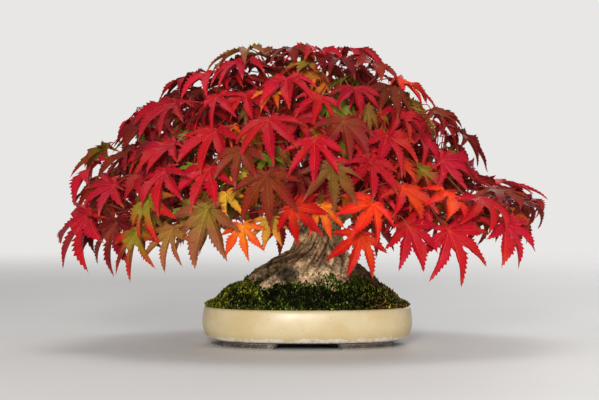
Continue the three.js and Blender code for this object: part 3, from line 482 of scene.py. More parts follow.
class Shape:
    """Points and faces gathered from several closed bodies, with each face's material and notes on points."""

    def __init__(self):
        self.points = []
        self.faces = []
        self.kinds = []
        self.notes = {}
        self.count = 0

    def add(self, points, faces, kind=0, **notes):
        self.faces += [tuple(corner + self.count for corner in face) for face in faces]
        self.kinds += [kind] * len(faces)
        self.points.append(points)
        self.count += len(points)
        for key, value in notes.items():
            self.notes.setdefault(key, []).append(np.broadcast_to(value, (len(points), *NOTES[key][2])))

    def add_rings(self, rings, kind=0, **notes):
        """A body over rings of equal count, closed at both ends."""
        count = len(rings[0])
        faces = []
        for start in range(0, (len(rings) - 1) * count, count):
            for j in range(count):
                a, b = start + j, start + (j + 1) % count
                faces.append((a, b, b + count, a + count))
        faces.append(tuple(reversed(range(count))))
        faces.append(tuple(range((len(rings) - 1) * count, len(rings) * count)))
        self.add(np.vstack(rings), faces, kind, **notes)

    def all_points(self):
        return np.vstack(self.points)


def add_piece(name, shape, materials, nodes=(), smooth=35):
    """A piece of the object from a shape in millimetres, standing for the named solids."""
    piece = add_mesh(name, shape.all_points(), shape.faces)
    mesh = piece.data
    for material in materials:
        mesh.materials.append(MATERIALS[material])
    mesh.polygons.foreach_set("material_index", np.array(shape.kinds, np.int32))
    for key, values in shape.notes.items():
        kind, field, _ = NOTES[key]
        values = np.concatenate(values)
        if kind == "FLOAT_COLOR":
            values = np.column_stack([values, np.ones(len(values))])
        mesh.attributes.new(key, kind, "POINT").data.foreach_set(field, values.astype(np.float32).ravel())
    mesh.update()
    mesh.shade_smooth()
    if smooth < 180:
        mesh.set_sharp_from_angle(angle=math.radians(smooth))
    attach(piece, "root")
    if nodes:
        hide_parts(*nodes)


def helper_mesh(name, bodies):
    shape = Shape()
    for rings in bodies:
        shape.add_rings(rings)
    return add_mesh(name, shape.all_points(), shape.faces)


def level_rings(rows, sides, flute_depth=0.0):
    """Level oval rings from rows of z, x, y, half width and half depth, fluted from the third on."""
    turns = 2 * math.pi * np.arange(sides) / sides
    rings = []
    for i, (z, x, y, *halves) in enumerate(rows):
        flute = 1 + (flute_depth if i > 1 else 0) * np.sin(FLUTES * turns + 0.5 * i)
        rings.append(np.column_stack([polar(flute, turns) * halves, 0 * turns]) + (x, y, z))
    return rings


def tube_rings(points, radii, sides, flatness=1.0):
    ahead = unit(np.gradient(points, axis=0))
    side = np.cross(ahead[0], (0, 1, 0) if abs(ahead[0][2]) > 0.8 else (0, 0, 1))
    turns = 2 * math.pi * (np.arange(sides) + 0.5) / sides
    rings = []
    for point, along, radius in zip(points, ahead, radii):
        side = unit(side - along * (side @ along))
        up = np.cross(along, side) * flatness
        rings.append(point + radius * (np.outer(np.cos(turns), side) + np.outer(np.sin(turns), up)))
    return rings


def smooth_run(given, steps):
    """Points and radii on a smooth curve through given points of x, y, z, radius."""
    given = np.asarray(given, float)
    padded = np.vstack([2 * given[0] - given[1], given, 2 * given[-1] - given[-2]])
    run = []
    for place in np.linspace(0, len(given) - 1, steps + 1):
        before = min(int(place), len(given) - 2)
        t = place - before
        a, b, c, d = padded[before : before + 4]
        cubic = (2 * a - 5 * b + 4 * c - d) * t**2 + (3 * b - a - 3 * c + d) * t**3
        run.append(0.5 * (2 * b + (c - a) * t + cubic))
    run = np.array(run)
    return run[:, :3], run[:, 3]


# The crown's dome


def dome_radius(direction):
    x, y, z = np.moveaxis(direction, -1, 0)
    right = DOME_RIGHT + (DOME_LOW_RIGHT - DOME_RIGHT) * (1 - smoothstep(z, DOME_LOW_FROM, DOME_LOW_TO))
    x = np.abs(x) / np.where(x < 0, DOME_LEFT, right)
    y = np.abs(y) / DOME_DEPTH
    z = np.abs(z) / np.where(z < 0, DOME_SKIRT, DOME_HEIGHT)
    return (x**DOME_POWER + y**DOME_POWER + z**DOME_POWER) ** (-1 / DOME_POWER)


def dome_point(direction, height):
    return DOME_CENTRE + direction * np.asarray(dome_radius(direction) * LEAF_LEVEL + height)[..., None]


def direction_to(point):
    return unit(point - DOME_CENTRE)


def dome_normal(direction):
    step = 0.02
    across = unit(np.array([-direction[1], direction[0], 0]))
    upward = unit(np.cross(direction, across))
    near = [dome_point(unit(direction + axis * way), 0) for axis in (across, upward) for way in (step, -step)]
    normal = unit(np.cross(near[0] - near[1], near[2] - near[3]))
    return normal if normal @ direction > 0 else -normal


def leaf_frame(direction, turn):
    """A leaf's frame on the dome: along points down the slope, turned by turn."""
    normal = dome_normal(direction)
    downhill = unit(np.array([0, 0, -1.0]) + normal * normal[2])
    along = downhill * math.cos(turn) + np.cross(normal, downhill) * math.sin(turn)
    across = np.cross(normal, along)
    return {"hub": dome_point(direction, 0), "normal": normal, "along": along, "across": across}


def front_direction(x, z):
    """The direction on the front of the dome that shows at x and z from the front."""
    point = np.array([x, -DOME_DEPTH / 2, z], float)
    for _ in range(40):
        out = distances(point, DOME_CENTRE) / (dome_radius(direction_to(point)) * LEAF_LEVEL)
        point[1] = np.clip(point[1] - (1 - out) * 60, -DOME_DEPTH, -8)
    return direction_to(point)


def turn_for_lean(direction, lean):
    """The turn with which a leaf leans by an angle from straight down, seen from the front."""
    spot = leaf_frame(direction, 0)
    normal = spot["normal"]
    seen = np.array([math.sin(lean), 0, -math.cos(lean)])
    seen[1] = -(normal[0] * seen[0] + normal[2] * seen[2]) / min(normal[1], -0.35)
    return math.atan2(seen @ spot["across"], seen @ spot["along"])


def spiral(tries, start, end, i):
    up = start + (end - start) * (i + 0.5) / tries
    return np.array([*polar(math.sqrt(1 - up * up), i * GOLDEN_ANGLE), up])


# Leaves and shoots


def wanted_shoots():
    """The shoots with their leaves as the solids were laid out: first those in the photo, then the rest."""
    draws = seeded(LAYOUT_SEED)
    shoots = []

    def vary(middle, spread):
        return middle + (2 * next(draws) - 1) * spread

    def add_leaf(colour, varies, direction, turn, length):
        leaf = leaf_frame(direction, turn)
        leaf.update(tilt=vary(LEAF_TILT, varies[0]), roll=vary(0, varies[1]), length=length, colour=colour)
        shoots[-1]["leaves"].append(leaf)

    for tint, *leaves in FRONT_SHOOTS:
        shoots.append({"tint": tint, "leaves": []})
        for x, z, lean, length, colour in leaves:
            direction = front_direction(x, z)
            add_leaf(colour, FRONT_VARIES, direction, turn_for_lean(direction, math.radians(lean)), length)
    for i in range(FILL_SPIRAL[0]):
        spot = leaf_frame(spiral(*FILL_SPIRAL, i), 0)
        hubs = np.array([leaf["hub"] for shoot in shoots for leaf in shoot["leaves"]])
        if len(shoots) >= MOST_SHOOTS or distances(hubs, spot["hub"]).min() < FILL_SPACING:
            continue
        tint = FILL_TINTS[len(shoots) % len(FILL_TINTS)]
        shoots.append({"tint": tint, "leaves": []})
        for colour, (down, aside, turn) in zip(SLOT_COLOURS[tint], FILL_LEAVES):
            place = spot["hub"] + spot["along"] * vary(down, FILL_SHIFT)
            direction = direction_to(place + spot["across"] * vary(aside, FILL_SHIFT))
            add_leaf(colour, FILL_VARIES, direction, vary(turn, FILL_TURN), vary(*FILL_LENGTH))
    return shoots


def lay(leaf, plan):
    """Directions and heights over the dome of places of a leaf's plan, given in shares of its length."""
    u, v = (plan * leaf["length"]).T
    flat = leaf["hub"] + np.outer(u, leaf["along"]) + np.outer(v, leaf["across"])
    return direction_to(flat), leaf["lift"] + leaf["tilt"] * u + leaf["roll"] * v


def on_leaf(leaf, plan, form=0.0):
    """Points of a leaf at places of its plan, with form as height over it."""
    ways, heights = lay(leaf, np.asarray(plan))
    return dome_point(ways, heights + form)


def settle(shoot):
    """Finds how each leaf of a shoot lies, from the solid that holds it."""
    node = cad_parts["leaf_spray_" + shoot["number"]]
    solid = from_frame([vertex.co for vertex in node.data.vertices])
    turns = np.radians([angle * side for angle, *_ in LOBES for side in (1, -1)])
    reach = np.array([length for _, length, *_ in LOBES for _ in (1, -1)])
    for leaf in shoot["leaves"]:
        tried = []
        for lift in LIFTS:
            for tilt in leaf["tilt"] + np.array(TILT_CHANGES):
                places = on_leaf({**leaf, "lift": lift, "tilt": tilt}, polar(reach, turns))
                tried.append((distances(places[:, None], solid).min(axis=1).max(), lift, tilt))
        leaf["off"], leaf["lift"], leaf["tilt"] = min(tried, key=lambda way: way[0])
    shoot["leaves"] = [leaf for leaf in shoot["leaves"] if leaf["off"] < 1]


def along_stem(shoot, share):
    return shoot["fork"] + (shoot["foot"] - shoot["fork"]) * share


def add_stem(shoot):
    middle = np.mean([leaf["hub"] for leaf in shoot["leaves"]], axis=0)
    spot = leaf_frame(direction_to(middle), 0)
    for key, (uphill, depth) in STEM_ENDS.items():
        shoot[key] = dome_point(direction_to(spot["hub"] - spot["along"] * uphill), -depth)
    for order, leaf in enumerate(shoot["leaves"]):
        leaf.update(base=along_stem(shoot, STALK_STEP * order), fine=True, shade=1)


def outline_corners():
    """Angles and reaches of the outline that the solids have, for a length of 1."""
    corners = []
    shoulder = math.degrees(math.atan2(MEET_HALF, MEET_AT))
    for order, (angle, length, *_) in enumerate(LOBES):
        reach = length * math.hypot(MEET_AT, MEET_HALF)
        if order == 1:
            corners.append((angle - shoulder, reach))
        corners.append((angle, length))
        if order < 2:
            corners.append((angle + shoulder, reach))
        corners += NOTCHES[order : order + 1]
    corners.append((180, STALK_NOTCH))
    angles, reaches = np.array(corners).T
    return np.radians(angles), reaches


CORNER_ANGLES, CORNER_REACHES = outline_corners()


def test_places():
    """Points spread over a leaf, as shares of its length."""
    places = []
    for angle, reach in zip(CORNER_ANGLES, CORNER_REACHES):
        for turn in (angle, -angle) if 0 < angle < 3 else (angle,):
            shares = (0.25, 0.45, 0.65, 0.85, 1) if reach > 0.32 else (0.6, 1)
            places += [polar(share * reach, turn) for share in shares]
    return np.array(places)


TEST_PLACES = test_places()
LIE = ("hub", "normal", "along", "across", "length", "lift", "tilt", "roll")


def packed(leaves, keys):
    return {key: np.array([leaf[key] for leaf in leaves]) for key in keys}


class Crown:
    """The leaves and stalks placed so far, for finding how a further leaf lies clear of them."""

    def __init__(self):
        self.leaves = []
        self.packed = None

    def add(self, leaf):
        leaf["ways"], leaf["heights"] = lay(leaf, TEST_PLACES)
        leaf["stalk"] = stalk_samples(leaf)
        self.leaves.append(leaf)
        self.packed = None

    def near(self, leaf):
        if self.packed is None:
            self.packed = packed(self.leaves, (*LIE, "ways", "heights", "stalk"))
        reach = self.packed["length"] + leaf["length"] + STEM_REACH
        close = distances(self.packed["hub"], leaf["hub"]) < reach
        return {key: values[close] for key, values in self.packed.items()}


def is_clear(leaf, near):
    """Whether a leaf and its stalk stay clear of the leaves and stalks near it."""
    own = packed([leaf], LIE)
    ways, heights = lay(leaf, TEST_PLACES)
    over = sides_passed(ways[None], heights[None], near)
    under = -sides_passed(near["ways"], near["heights"], own)
    if meets(np.concatenate([over, under], axis=1)):
        return False
    for stalks, leaves in ((stalk_samples(leaf)[None], near), (near["stalk"], own)):
        ways = direction_to(stalks)
        heights = distances(stalks, DOME_CENTRE) - dome_radius(ways) * LEAF_LEVEL
        if meets(sides_passed(ways, heights, leaves)):
            return False
    return True


def stalk_samples(leaf):
    shares = np.linspace(0, 1, 7)
    base, bend, end, _ = stalk_line(leaf)
    return np.vstack([np.outer(1 - shares, a) + np.outer(shares, b) for a, b in ((base, bend), (bend, end))])


def sides_passed(ways, heights, leaves):
    """Heights of points over leaves, a row for each leaf, with nan where a point is clear of its outline."""
    hub, normal, along, across, length, lift, tilt, roll = (leaves[key][:, None] for key in LIE)
    reach = ((hub - DOME_CENTRE) * normal).sum(-1) / (ways * normal).sum(-1)
    offset = DOME_CENTRE + ways * reach[..., None] - hub
    u, v = (offset * along).sum(-1), (offset * across).sum(-1)
    rim = np.interp(np.abs(np.arctan2(v, u)), CORNER_ANGLES, CORNER_REACHES) * length
    inside = (np.hypot(u, v) < rim + LEAF_CLEARANCE) & (reach > 0)
    return np.where(inside, heights - (lift + tilt * u + roll * v), np.nan)


def meets(over):
    """Whether any row of heights comes near to its leaf or passes it on both sides."""
    both_sides = np.any(over > 0, axis=1) & np.any(over < 0, axis=1)
    return bool(np.any(np.abs(over) < LEAF_CLEARANCE) or np.any(both_sides))


def inner_colour(place, outside, draw):
    x, y, z = place
    at_front = INNER_PATCHES if y < 0 else []
    mixes = [mix for at_x, at_z, radius, mix in at_front if math.hypot(x - at_x, z - at_z) < radius]
    return draw.choice(OUTSIDE_MIX if outside else [*mixes, INNER_MIX][0])


def add_inner_leaves(shoots):
    """Smaller leaves among and under the outer ones, each on the nearest shoot and clear of the others."""
    draw = random.Random(INNER_SEED)
    crown = Crown()
    for shoot in shoots:
        for leaf in shoot["leaves"]:
            crown.add(leaf)
    outer = np.array([leaf["hub"] for leaf in crown.leaves])
    forks = np.array([shoot["fork"] for shoot in shoots])
    for (tries, high, low), depths, (apart, clear), lengths, tilts, shade in INNER_LAYERS:
        placed = [np.full(3, 1e9)]
        for i in range(tries):
            direction = spiral(tries, high, low, i)
            widest = math.pi if direction[2] > ANY_WAY_OVER else WIDEST_TURN
            leaf = leaf_frame(direction, draw.uniform(-widest, widest))
            leaf.update(length=draw.uniform(*lengths), tilt=draw.uniform(*tilts), fine=False, shade=shade)
            leaf["roll"] = draw.uniform(-INNER_ROLL, INNER_ROLL)
            depth, share = draw.uniform(*depths), draw.uniform(0.1, 0.9)
            from_placed = distances(np.array(placed), leaf["hub"]).min()
            if from_placed < apart or distances(outer, leaf["hub"]).min() < clear:
                continue
            near = crown.near(leaf)
            for step in range(INNER_DEPTH_STEPS):
                leaf["lift"] = -depth - INNER_DEPTH_STEP * step
                hub = dome_point(direction, leaf["lift"])
                shoot = shoots[int(distances(forks, hub).argmin())]
                leaf["base"] = along_stem(shoot, share)
                if fits(leaf, hub) and is_clear(leaf, near):
                    leaf["colour"] = inner_colour(hub, depth < 0, draw)
                    crown.add(leaf)
                    placed.append(leaf["hub"])
                    shoot["leaves"].append(leaf)
                    break


def fits(leaf, hub):
    """Whether an inner leaf has a short stalk, stays under the top and doesn't hang before the trunk."""
    tips = on_leaf(leaf, [(1.0, 0.0), (0.73, 0.57), (0.73, -0.57)])
    if max(hub[2], tips[:, 2].max()) > BOX_HIGH[2] - TOP_MARGIN:
        return False
    low = tips[tips[:, 2].argmin()]
    edge = np.interp(low[0], *(FRONT_EDGE if hub[1] < 0 else BACK_EDGE))
    return low[2] > edge and distances(leaf["base"], hub) < LONGEST_STALK


def leaf_template(draw, fine):
    """A leaf's plan for a length of 1 with toothed lobes, and closed faces over it. Each point's facts are
    its share of the way out, rise, place across the lobe, tooth and lobe."""
    plan, facts, faces, rim = [], [], [], set()

    def add(place, *fact):
        plan.append(np.array(place, float))
        facts.append(fact)
        return len(plan) - 1

    hub = add((0, 0), 0, 0, 0, 0, 0)
    stalk = add((-STALK_NOTCH, 0), 0.1, 0, 1, 0, 0)
    slim = draw.uniform(*SLIMNESS)
    notches = {180: stalk, -180: stalk}
    for angle, reach in NOTCHES:
        for side in (1, -1):
            turn = math.radians(angle * side + draw.uniform(-1.5, 1.5))
            notches[angle * side] = add(polar(reach * draw.uniform(0.93, 1.07), turn), 0.3, 0.09, 1, 0, 0)
    marks = [0, *(angle for angle, _ in NOTCHES), 180]
    for order, (angle, length, half, teeth) in enumerate(LOBES):
        half *= slim
        teeth = teeth if fine else (teeth + 1) // 2
        for way in (1, -1) if angle else (1,):
            turn = math.radians(angle * way + draw.uniform(-3, 3))
            reach = length * draw.uniform(0.94, 1.03)
            bend = draw.uniform(-0.05, 0.05) - (way * draw.uniform(0.03, 0.11) if angle else 0)
            ahead, side_way = polar(1, turn), polar(1, turn + math.pi / 2)

            def put(along, aside, share, side, rung):
                place = ahead * along + side_way * (side * aside + bend * along**2 / reach)
                return add(place, share, aside, side, rung, order * way)

            tip = put(reach, 0, 1, 0, teeth)
            rim.add(tip)
            beside = {}
            for side in (1, -1):
                mark = marks[order + 1] if angle == 0 or side == way else marks[order]
                notch = notches[mark * (way if angle else side)]
                beside[side] = (notch, plan[notch] @ ahead, abs(plan[notch] @ side_way))
            start = 0.5 * max(0.06, min(along for _, along, _ in beside.values()))
            mids = [
                put(start + (reach - start) * k / teeth, 0, start + (1 - start) * k / teeth, 0, k)
                for k in range(teeth)
            ]
            for side, (notch, along_0, aside_0) in beside.items():
                profile = tuple(zip((0, aside_0 / half), *LOBE_PROFILE))

                def put_at(q, width, tooth, rung):
                    along = along_0 + (reach - along_0) * q
                    aside = half * np.interp(q, *profile) * width + tooth
                    return put(along, aside, along / reach, side, rung)

                bases = [notch, *(put_at(k / teeth, 0.9, 0, k) for k in range(1, teeth))]
                points = []
                for k in range(1, teeth - 1):
                    q = (k + TOOTH_AHEAD) / teeth
                    points.append(put_at(q, 1, TOOTH * (1 - 0.6 * q) * draw.uniform(0.5, 1.3), k + 1))
                rim.update(points)
                rows = [mids, bases]
                if fine:
                    between = []
                    for k, (mid, base) in enumerate(zip(mids, bases)):
                        share = (facts[mid][0] + facts[base][0]) / 2
                        place = (plan[mid] + plan[base]) / 2
                        between.append(add(place, share, facts[base][1] / 2, side * 0.5, k, order * way))
                    rows = [mids, between, bases]
                made = [(bases[k], bases[k + 1], points[k - 1]) for k in range(1, teeth - 1)]
                for a, b in zip(rows, rows[1:]):
                    made.append((hub, a[0], b[0]))
                    made += [(a[k], a[k + 1], b[k + 1], b[k]) for k in range(teeth - 1)]
                    made.append((a[-1], tip, b[-1]))
                faces += made if side == 1 else [face[::-1] for face in made]
    return close_sheet(np.array(plan), np.array(facts, float), faces, rim)


def close_sheet(plan, facts, faces, rim):
    """Doubles a sheet into a thin body whose two faces meet along the rim points."""
    count = len(plan)
    lower = list(range(count))
    own = [i for i in range(count) if i not in rim]
    for place, i in enumerate(own):
        lower[i] = count + place
    edges = {edge for face in faces for edge in zip(face, (*face[1:], face[0]))}
    closed = faces + [tuple(lower[i] for i in reversed(face)) for face in faces]
    for a, b in sorted(edges):
        if (b, a) not in edges:
            closed.append(tuple(dict.fromkeys([b, a, lower[a], lower[b]])))
    both = [*range(count), *own]
    side = np.array([0.0 if i in rim else 1.0 for i in range(count)] + [-1.0] * len(own))
    return {"plan": plan[both], "facts": facts[both], "side": side, "faces": closed}


def by_lobe(lobe, draw_one):
    """Random values drawn for each lobe of a leaf, at each of its points."""
    drawn = [draw_one() for _ in range(2 * len(LOBES) - 1)]
    return np.array(drawn)[lobe.astype(int) + len(LOBES) - 1]


def leaf_form(leaf, template, draw):
    """Height of a leaf's fine form over its smooth middle: folded lobes that arch and hang at their tips."""
    share, rise, across, _, lobe = template["facts"].T
    level = max(0.0, leaf["normal"][2])
    fold = draw.uniform(0.4, 0.85) + 0.3 * (1 - level)
    arch = draw.uniform(0.01, 0.05)
    hangs = (-0.06 * (1 - level), 0.05 + 0.14 * level) if leaf["fine"] else (-0.05, 0.1 + 0.25 * level)
    hang, twist = by_lobe(lobe, lambda: (draw.uniform(*hangs), draw.uniform(-0.6, 0.6))).T
    hook = 0.04 * level * smoothstep(share, 0.7, 1.0)
    wave = 0.012 * np.sin(share * draw.uniform(9, 14) + across * 1.3 + draw.uniform(0, 6))
    form = (fold + twist * across) * rise + arch * np.sin(math.pi * share) - hang * share**2 - hook
    return leaf["length"] * (form + wave * np.abs(across))


def leaf_tint(leaf, template, draw):
    """Colour of each point of a leaf, from the middle to the tips of its lobes."""
    share, _, across, _, lobe = template["facts"].T
    hub_colour, tip_colour = (linear(colour) for colour in COLOURS[leaf["colour"]])
    turning = draw.uniform(0.35, 0.75)
    place = share + by_lobe(lobe, lambda: draw.uniform(-0.3, 0.3)) * share
    mix = smoothstep(place + 0.12 * np.abs(across), turning - 0.35, turning + 0.3)
    colour = blend(hub_colour, tip_colour, mix)
    colour = blend(colour, linear(PALE_TIP), smoothstep(share, 0.78, 1.0) * draw.uniform(0, 0.5))
    # Random tone for each leaf, times the painted shade of leaves deep in the crown
    shade = draw.uniform(0.66, 1.08) * leaf["shade"]
    hue = by_lobe(lobe, lambda: (1, draw.uniform(0.6, 1.8), draw.uniform(0.6, 1.5))) - 1
    redness = (1 - hub_colour[1] / hub_colour[0].clip(hub_colour[1])) ** 2
    hue = 1 + hue * (redness * smoothstep(share, 0.1, 0.4))[:, None]
    return np.clip(colour * shade * hue, 0.001, 0.95)


def stalk_line(leaf):
    end = on_leaf(leaf, [(-STALK_NOTCH, 0.0)], -0.2)[0]
    into = on_leaf(leaf, [(0.02, 0.0)], -0.3)[0]
    bend = end - leaf["along"] * BEND_BACK - leaf["normal"] * BEND_DOWN * (1 if leaf["fine"] else 0.4)
    return [leaf["base"], bend, end, into]


def back_inside(points):
    """The move that brings a leaf's points back into the solids' box where they stand out of it."""
    over = np.maximum(0, points.max(axis=0) - (BOX_HIGH - BOX_MARGIN))
    under = np.maximum(0, BOX_LOW + BOX_MARGIN - points.min(axis=0))
    return under - over


def build_spray(shoot, templates, draw):
    """All the fine leaves, stalks and stem of a shoot as one piece."""
    shape = Shape()
    for leaf in shoot["leaves"]:
        template = draw.choice(templates[leaf["fine"]])
        form = leaf_form(leaf, template, draw) + template["side"] * BLADE_HALF_THICK
        points = on_leaf(leaf, template["plan"], form)
        move = back_inside(points)
        share, _, across, rung, _ = template["facts"].T
        tint = leaf_tint(leaf, template, draw)
        vein = columns(rung, across, share)
        shape.add(points + move, template["faces"], tint=tint, vein=vein, under=template["side"] < 0)
        base, *rest = stalk_line(leaf)
        given = [(*base, STALK_RADIUS * 1.25), *((*(place + move), STALK_RADIUS) for place in rest)]
        tint = linear(STALK_COLOURS[0 if draw.random() < RED_STALKS else 1])
        shape.add_rings(tube_rings(*smooth_run(given, 9), 5), kind=1, tint=tint, vein=0, under=0)
    out = unit(shoot["fork"] - shoot["foot"])
    stem = [shoot["foot"] - out * 1.5, along_stem(shoot, 0.5), shoot["fork"] + out]
    given = [(*place, SHOOT_RADIUS * share) for place, share in zip(stem, (1, 0.85, 0.7))]
    rings = tube_rings(*smooth_run(given, 5), 7)
    shape.add_rings(rings, kind=1, tint=linear(SHOOT_COLOUR), vein=0, under=0)
    nodes = ["leaf_spray_" + shoot["number"]]
    add_piece("maple_leaves_" + shoot["number"], shape, ["leaf", "stalk"], nodes)


# Wood


def oval_share(x, y, inset):
    """How far out places lie on the pot's plan, with 1 on the oval drawn in by an inset."""
    a = np.abs(x) / (POT_HALF_LENGTH - inset)
    b = np.abs(y) / (POT_HALF_WIDTH - inset)
    return (a**OVAL_POWER + b**OVAL_POWER) ** (1 / OVAL_POWER)


def mound_share(x, y):
    return np.minimum(1, oval_share(x, y, SOIL_EDGE_INSET))


def soil_height(share):
    return MOUND_EDGE_Z + MOUND_RISE * (1 - share**MOUND_POWER)


def branch_lines():
    lines = [smooth_run(limb, 24) for limb in LIMBS]
    for limb, at, middle, end in BRANCHES:
        *start, limb_radius = LIMBS[limb][at]
        radius = min(BRANCH_RADIUS, limb_radius)
        given = [(*start, radius), (*middle, (radius + BRANCH_END_RADIUS) / 2), (*end, BRANCH_END_RADIUS)]
        lines.append(smooth_run(given, 16))
    return lines


def build_wood(lines):
    """Trunk, roots, limbs and branches grown into one body with bark on it; returns points and normals."""
    bodies = [level_rings(TRUNK_RINGS, TRUNK_SIDES, FLUTE_DEPTH), level_rings(SWELL_RINGS, TRUNK_SIDES)]
    for root in SURFACE_ROOTS:
        given = []
        for x, y, over, half in root:
            bed = soil_height(mound_share(x, y)) + ROOT_BED
            given.append((x, y, bed + over + half * ROOT_FLATNESS, half))
        bodies.append(tube_rings(*smooth_run(given, 14), 14, ROOT_FLATNESS))
    bodies += [tube_rings(line, radii, 10) for line, radii in lines]
    rough = helper_mesh("rough_wood", bodies)
    settings(rough.modifiers.new("remesh", "REMESH"), mode="VOXEL", voxel_size=BARK_VOXEL * MM)
    settings(rough.modifiers.new("smooth", "SMOOTH"), factor=0.5, iterations=5)
    points, normals, faces = modified([rough])
    points = points + normals * bark_relief(points)[:, None]
    bark = Shape()
    bark.add(points, faces, tint=bark_tint(points))
    add_piece("trunk_and_roots", bark, ["bark"], ["tree_wood"], smooth=180)
    return points, normals


def streak_noise(turn, radius, up, seed):
    """Noise in streaks round the trunk, long in the way that up counts."""
    return noise_at(np.column_stack([polar(radius, turn), up]), 1, seed)


def bark_relief(points):
    """Depth of the bark: long ridges up the trunk and out along the roots, lumps and crumbs on the base."""
    x, y, z = points.T
    turn = np.arctan2(y, x - TRUNK_X)
    base = 1 - smoothstep(z, 56, 70)
    limbs = smoothstep(z, 80, 92)
    ridges = streak_noise(turn - z * BARK_LEAN, 9, z * 0.05, 3.1) * (1 - base)
    ridges = ridges + streak_noise(turn, 12, np.hypot(x - TRUNK_X, y) * 0.06, 8.7) * base
    crumbs = noise_at(points, 0.62, 1.7)
    lumps = noise_at(points, 0.16, 5.3)
    relief = 0.9 * (1 - 2.6 * np.abs(ridges)) * (1 - 0.7 * limbs) + 1.2 * lumps * (1 - limbs)
    return relief + crumbs * (0.8 * base + 0.16 * limbs) - HOLLOW_DEPTH * root_hollow(points)


def root_hollow(points):
    """How far points are in the hollow between the trunk's foot and the left front root, where the bark is
    dented and darkened as painted shade.
    """
    return np.exp(-(((points - HOLLOW_AT) / HOLLOW_SIZE) ** 2).sum(axis=1))


def bark_tint(points):
    """Streaky grey-brown above, a pale crumbly foot that is dark at the right and stained at the left, with
    painted shade in the hollow by the left front root.
    """
    x, y, z = points.T
    above, pale, dark, stained, mossy = (linear(colour) for colour in BARK_COLOURS)
    lean = np.arctan2(y, x - TRUNK_X) - z * BARK_LEAN
    base = 1 - smoothstep(z + 5 * noise_at(points, 0.08, 2.2), 54, 64)
    stain = 1 - smoothstep(z - soil_height(mound_share(x, y)) + 4 * noise_at(points, 0.2, 4.4), 2, 8)
    left = smoothstep(-x, 2, 18) * smoothstep(y, -32, -22) * (1 - smoothstep(z, 58, 66))
    patches = noise_at(points, 0.13, 31.2)
    colour = blend(above, pale, base * 0.9) * (1 + 0.35 * patches)[:, None]
    # Dark marks: pattern, where it turns dark, and how dark it gets up the trunk and on the foot
    for pattern, low, high, most, on_base in (
        (-patches, 0.04, 0.28, 0.62, 0.31),
        (streak_noise(lean, 10, z * 0.06, 7.9), -0.02, 0.2, 0.85, 0.255),
        (streak_noise(lean, 24, z * 0.09, 17.9), 0.0, 0.25, 0.6, 0.12),
        (noise_at(points, 0.8, 12.4), 0.0, 0.25, 0.15, 0.75),
        (x, 21, 33, 0, 0.92),
    ):
        colour = blend(colour, dark, smoothstep(pattern, low, high) * (most + (on_base - most) * base))
    colour = blend(colour, mossy, 0.5 * smoothstep(x, 9, 17) * smoothstep(z, 68, 80))
    colour = blend(colour, stained, np.maximum(0.6 * stain, 0.65 * left))
    # Painted shade: the bark darkens towards the middle of the hollow
    return np.clip(colour * (1 - 0.9 * smoothstep(root_hollow(points), 0.08, 0.6))[:, None], 0, 1)


def build_twigs(lines, shoots):
    """A twig from the nearest branch to the foot of each shoot."""
    points = np.vstack([line for line, _ in lines])
    ways = unit(np.vstack([np.gradient(line, axis=0) for line, _ in lines]))
    radii = np.concatenate([run for _, run in lines])
    usable = points[:, 2] > TWIG_LOWEST
    points, ways, radii = points[usable], ways[usable], radii[usable]
    shape = Shape()
    draw = random.Random(TWIG_SEED)
    for shoot in shoots:
        out = unit(shoot["fork"] - shoot["foot"])
        before = shoot["foot"] - out * 10
        backwards = (ways * unit(points - before)).sum(axis=1)
        start = int((distances(points, before) * (1 + 0.5 * np.clip(backwards, 0, 1))).argmin())
        leave = points[start] + ways[start] * 5 + unit(before - points[start]) * 4
        middle = (leave + before) / 2 + [draw.uniform(-TWIG_SWAY, TWIG_SWAY) for _ in range(3)]
        radius = min(TWIG_RADIUS * 1.5, radii[start])
        given = [
            (*points[start], radius),
            (*leave, radius * 0.95),
            (*middle, TWIG_RADIUS * 1.1),
            (*before, TWIG_RADIUS),
            (*(shoot["foot"] + out), SHOOT_RADIUS),
        ]
        line, run = smooth_run(given, 18)
        knots = 1 + 0.1 * np.sin(np.arange(len(run)) * draw.uniform(1.6, 2.6) + draw.uniform(0, 6))
        shape.add_rings(tube_rings(line, run * knots, 8), tint=linear(TWIG_COLOUR))
    add_piece("twigs", shape, ["bark"])


# Moss


def on_oval(turn, inset, share=1.0):
    """x and y on the pot's oval drawn in by an inset, or at a share of the way out to it."""
    c, s = np.cos(turn), np.sin(turn)
    x = share * (POT_HALF_LENGTH - inset) * np.sign(c) * np.abs(c) ** (2 / OVAL_POWER)
    y = share * (POT_HALF_WIDTH - inset) * np.sign(s) * np.abs(s) ** (2 / OVAL_POWER)
    return x, y


def pot_ring(inset, z, share=1.0):
    return columns(*on_oval(2 * math.pi * (np.arange(POT_SIDES) + 0.5) / POT_SIDES, inset, share), float(z))


def moss_top(x, y):
    share = mound_share(x, y)
    of_x = np.sin(0.29 * x + 1.3 * np.sin(0.21 * y))
    of_y = np.cos(0.33 * y + 0.8 * np.sin(0.17 * x))
    lumps = MOSS_CLUMP * of_x * of_y + MOSS_LUMP * noise_at(columns(x, y, 0), 0.15, 21.4)
    edge = MOSS_EDGE_RISE * smoothstep(share, 0.6, 0.9)
    return soil_height(share) + MOSS_THICK + (lumps + edge) * (1 - share**8)


def moss_tint(points, shade):
    """Soft patches, yellow-green at the left, dark in the middle with green tufts, ochre at the right."""
    x, y, _ = points.T
    patch = noise_at(columns(x, y, 0), 0.07, 6.6, 3)
    bright, green, deep, ochre = (linear(colour) for colour in MOSS_COLOURS)
    tuft = smoothstep(patch, 0.02, 0.3)
    colour = blend(deep, green, 0.2 + 0.8 * tuft)
    colour = blend(colour, bright, smoothstep(-x + 16 * patch, 26, 60) * (0.35 + 0.65 * tuft))
    colour = blend(colour, ochre, smoothstep(x + 12 * patch, 34, 60) * (0.35 + 0.55 * (1 - tuft)))
    return np.clip(colour * np.reshape(shade, (-1, 1)), 0, 1)


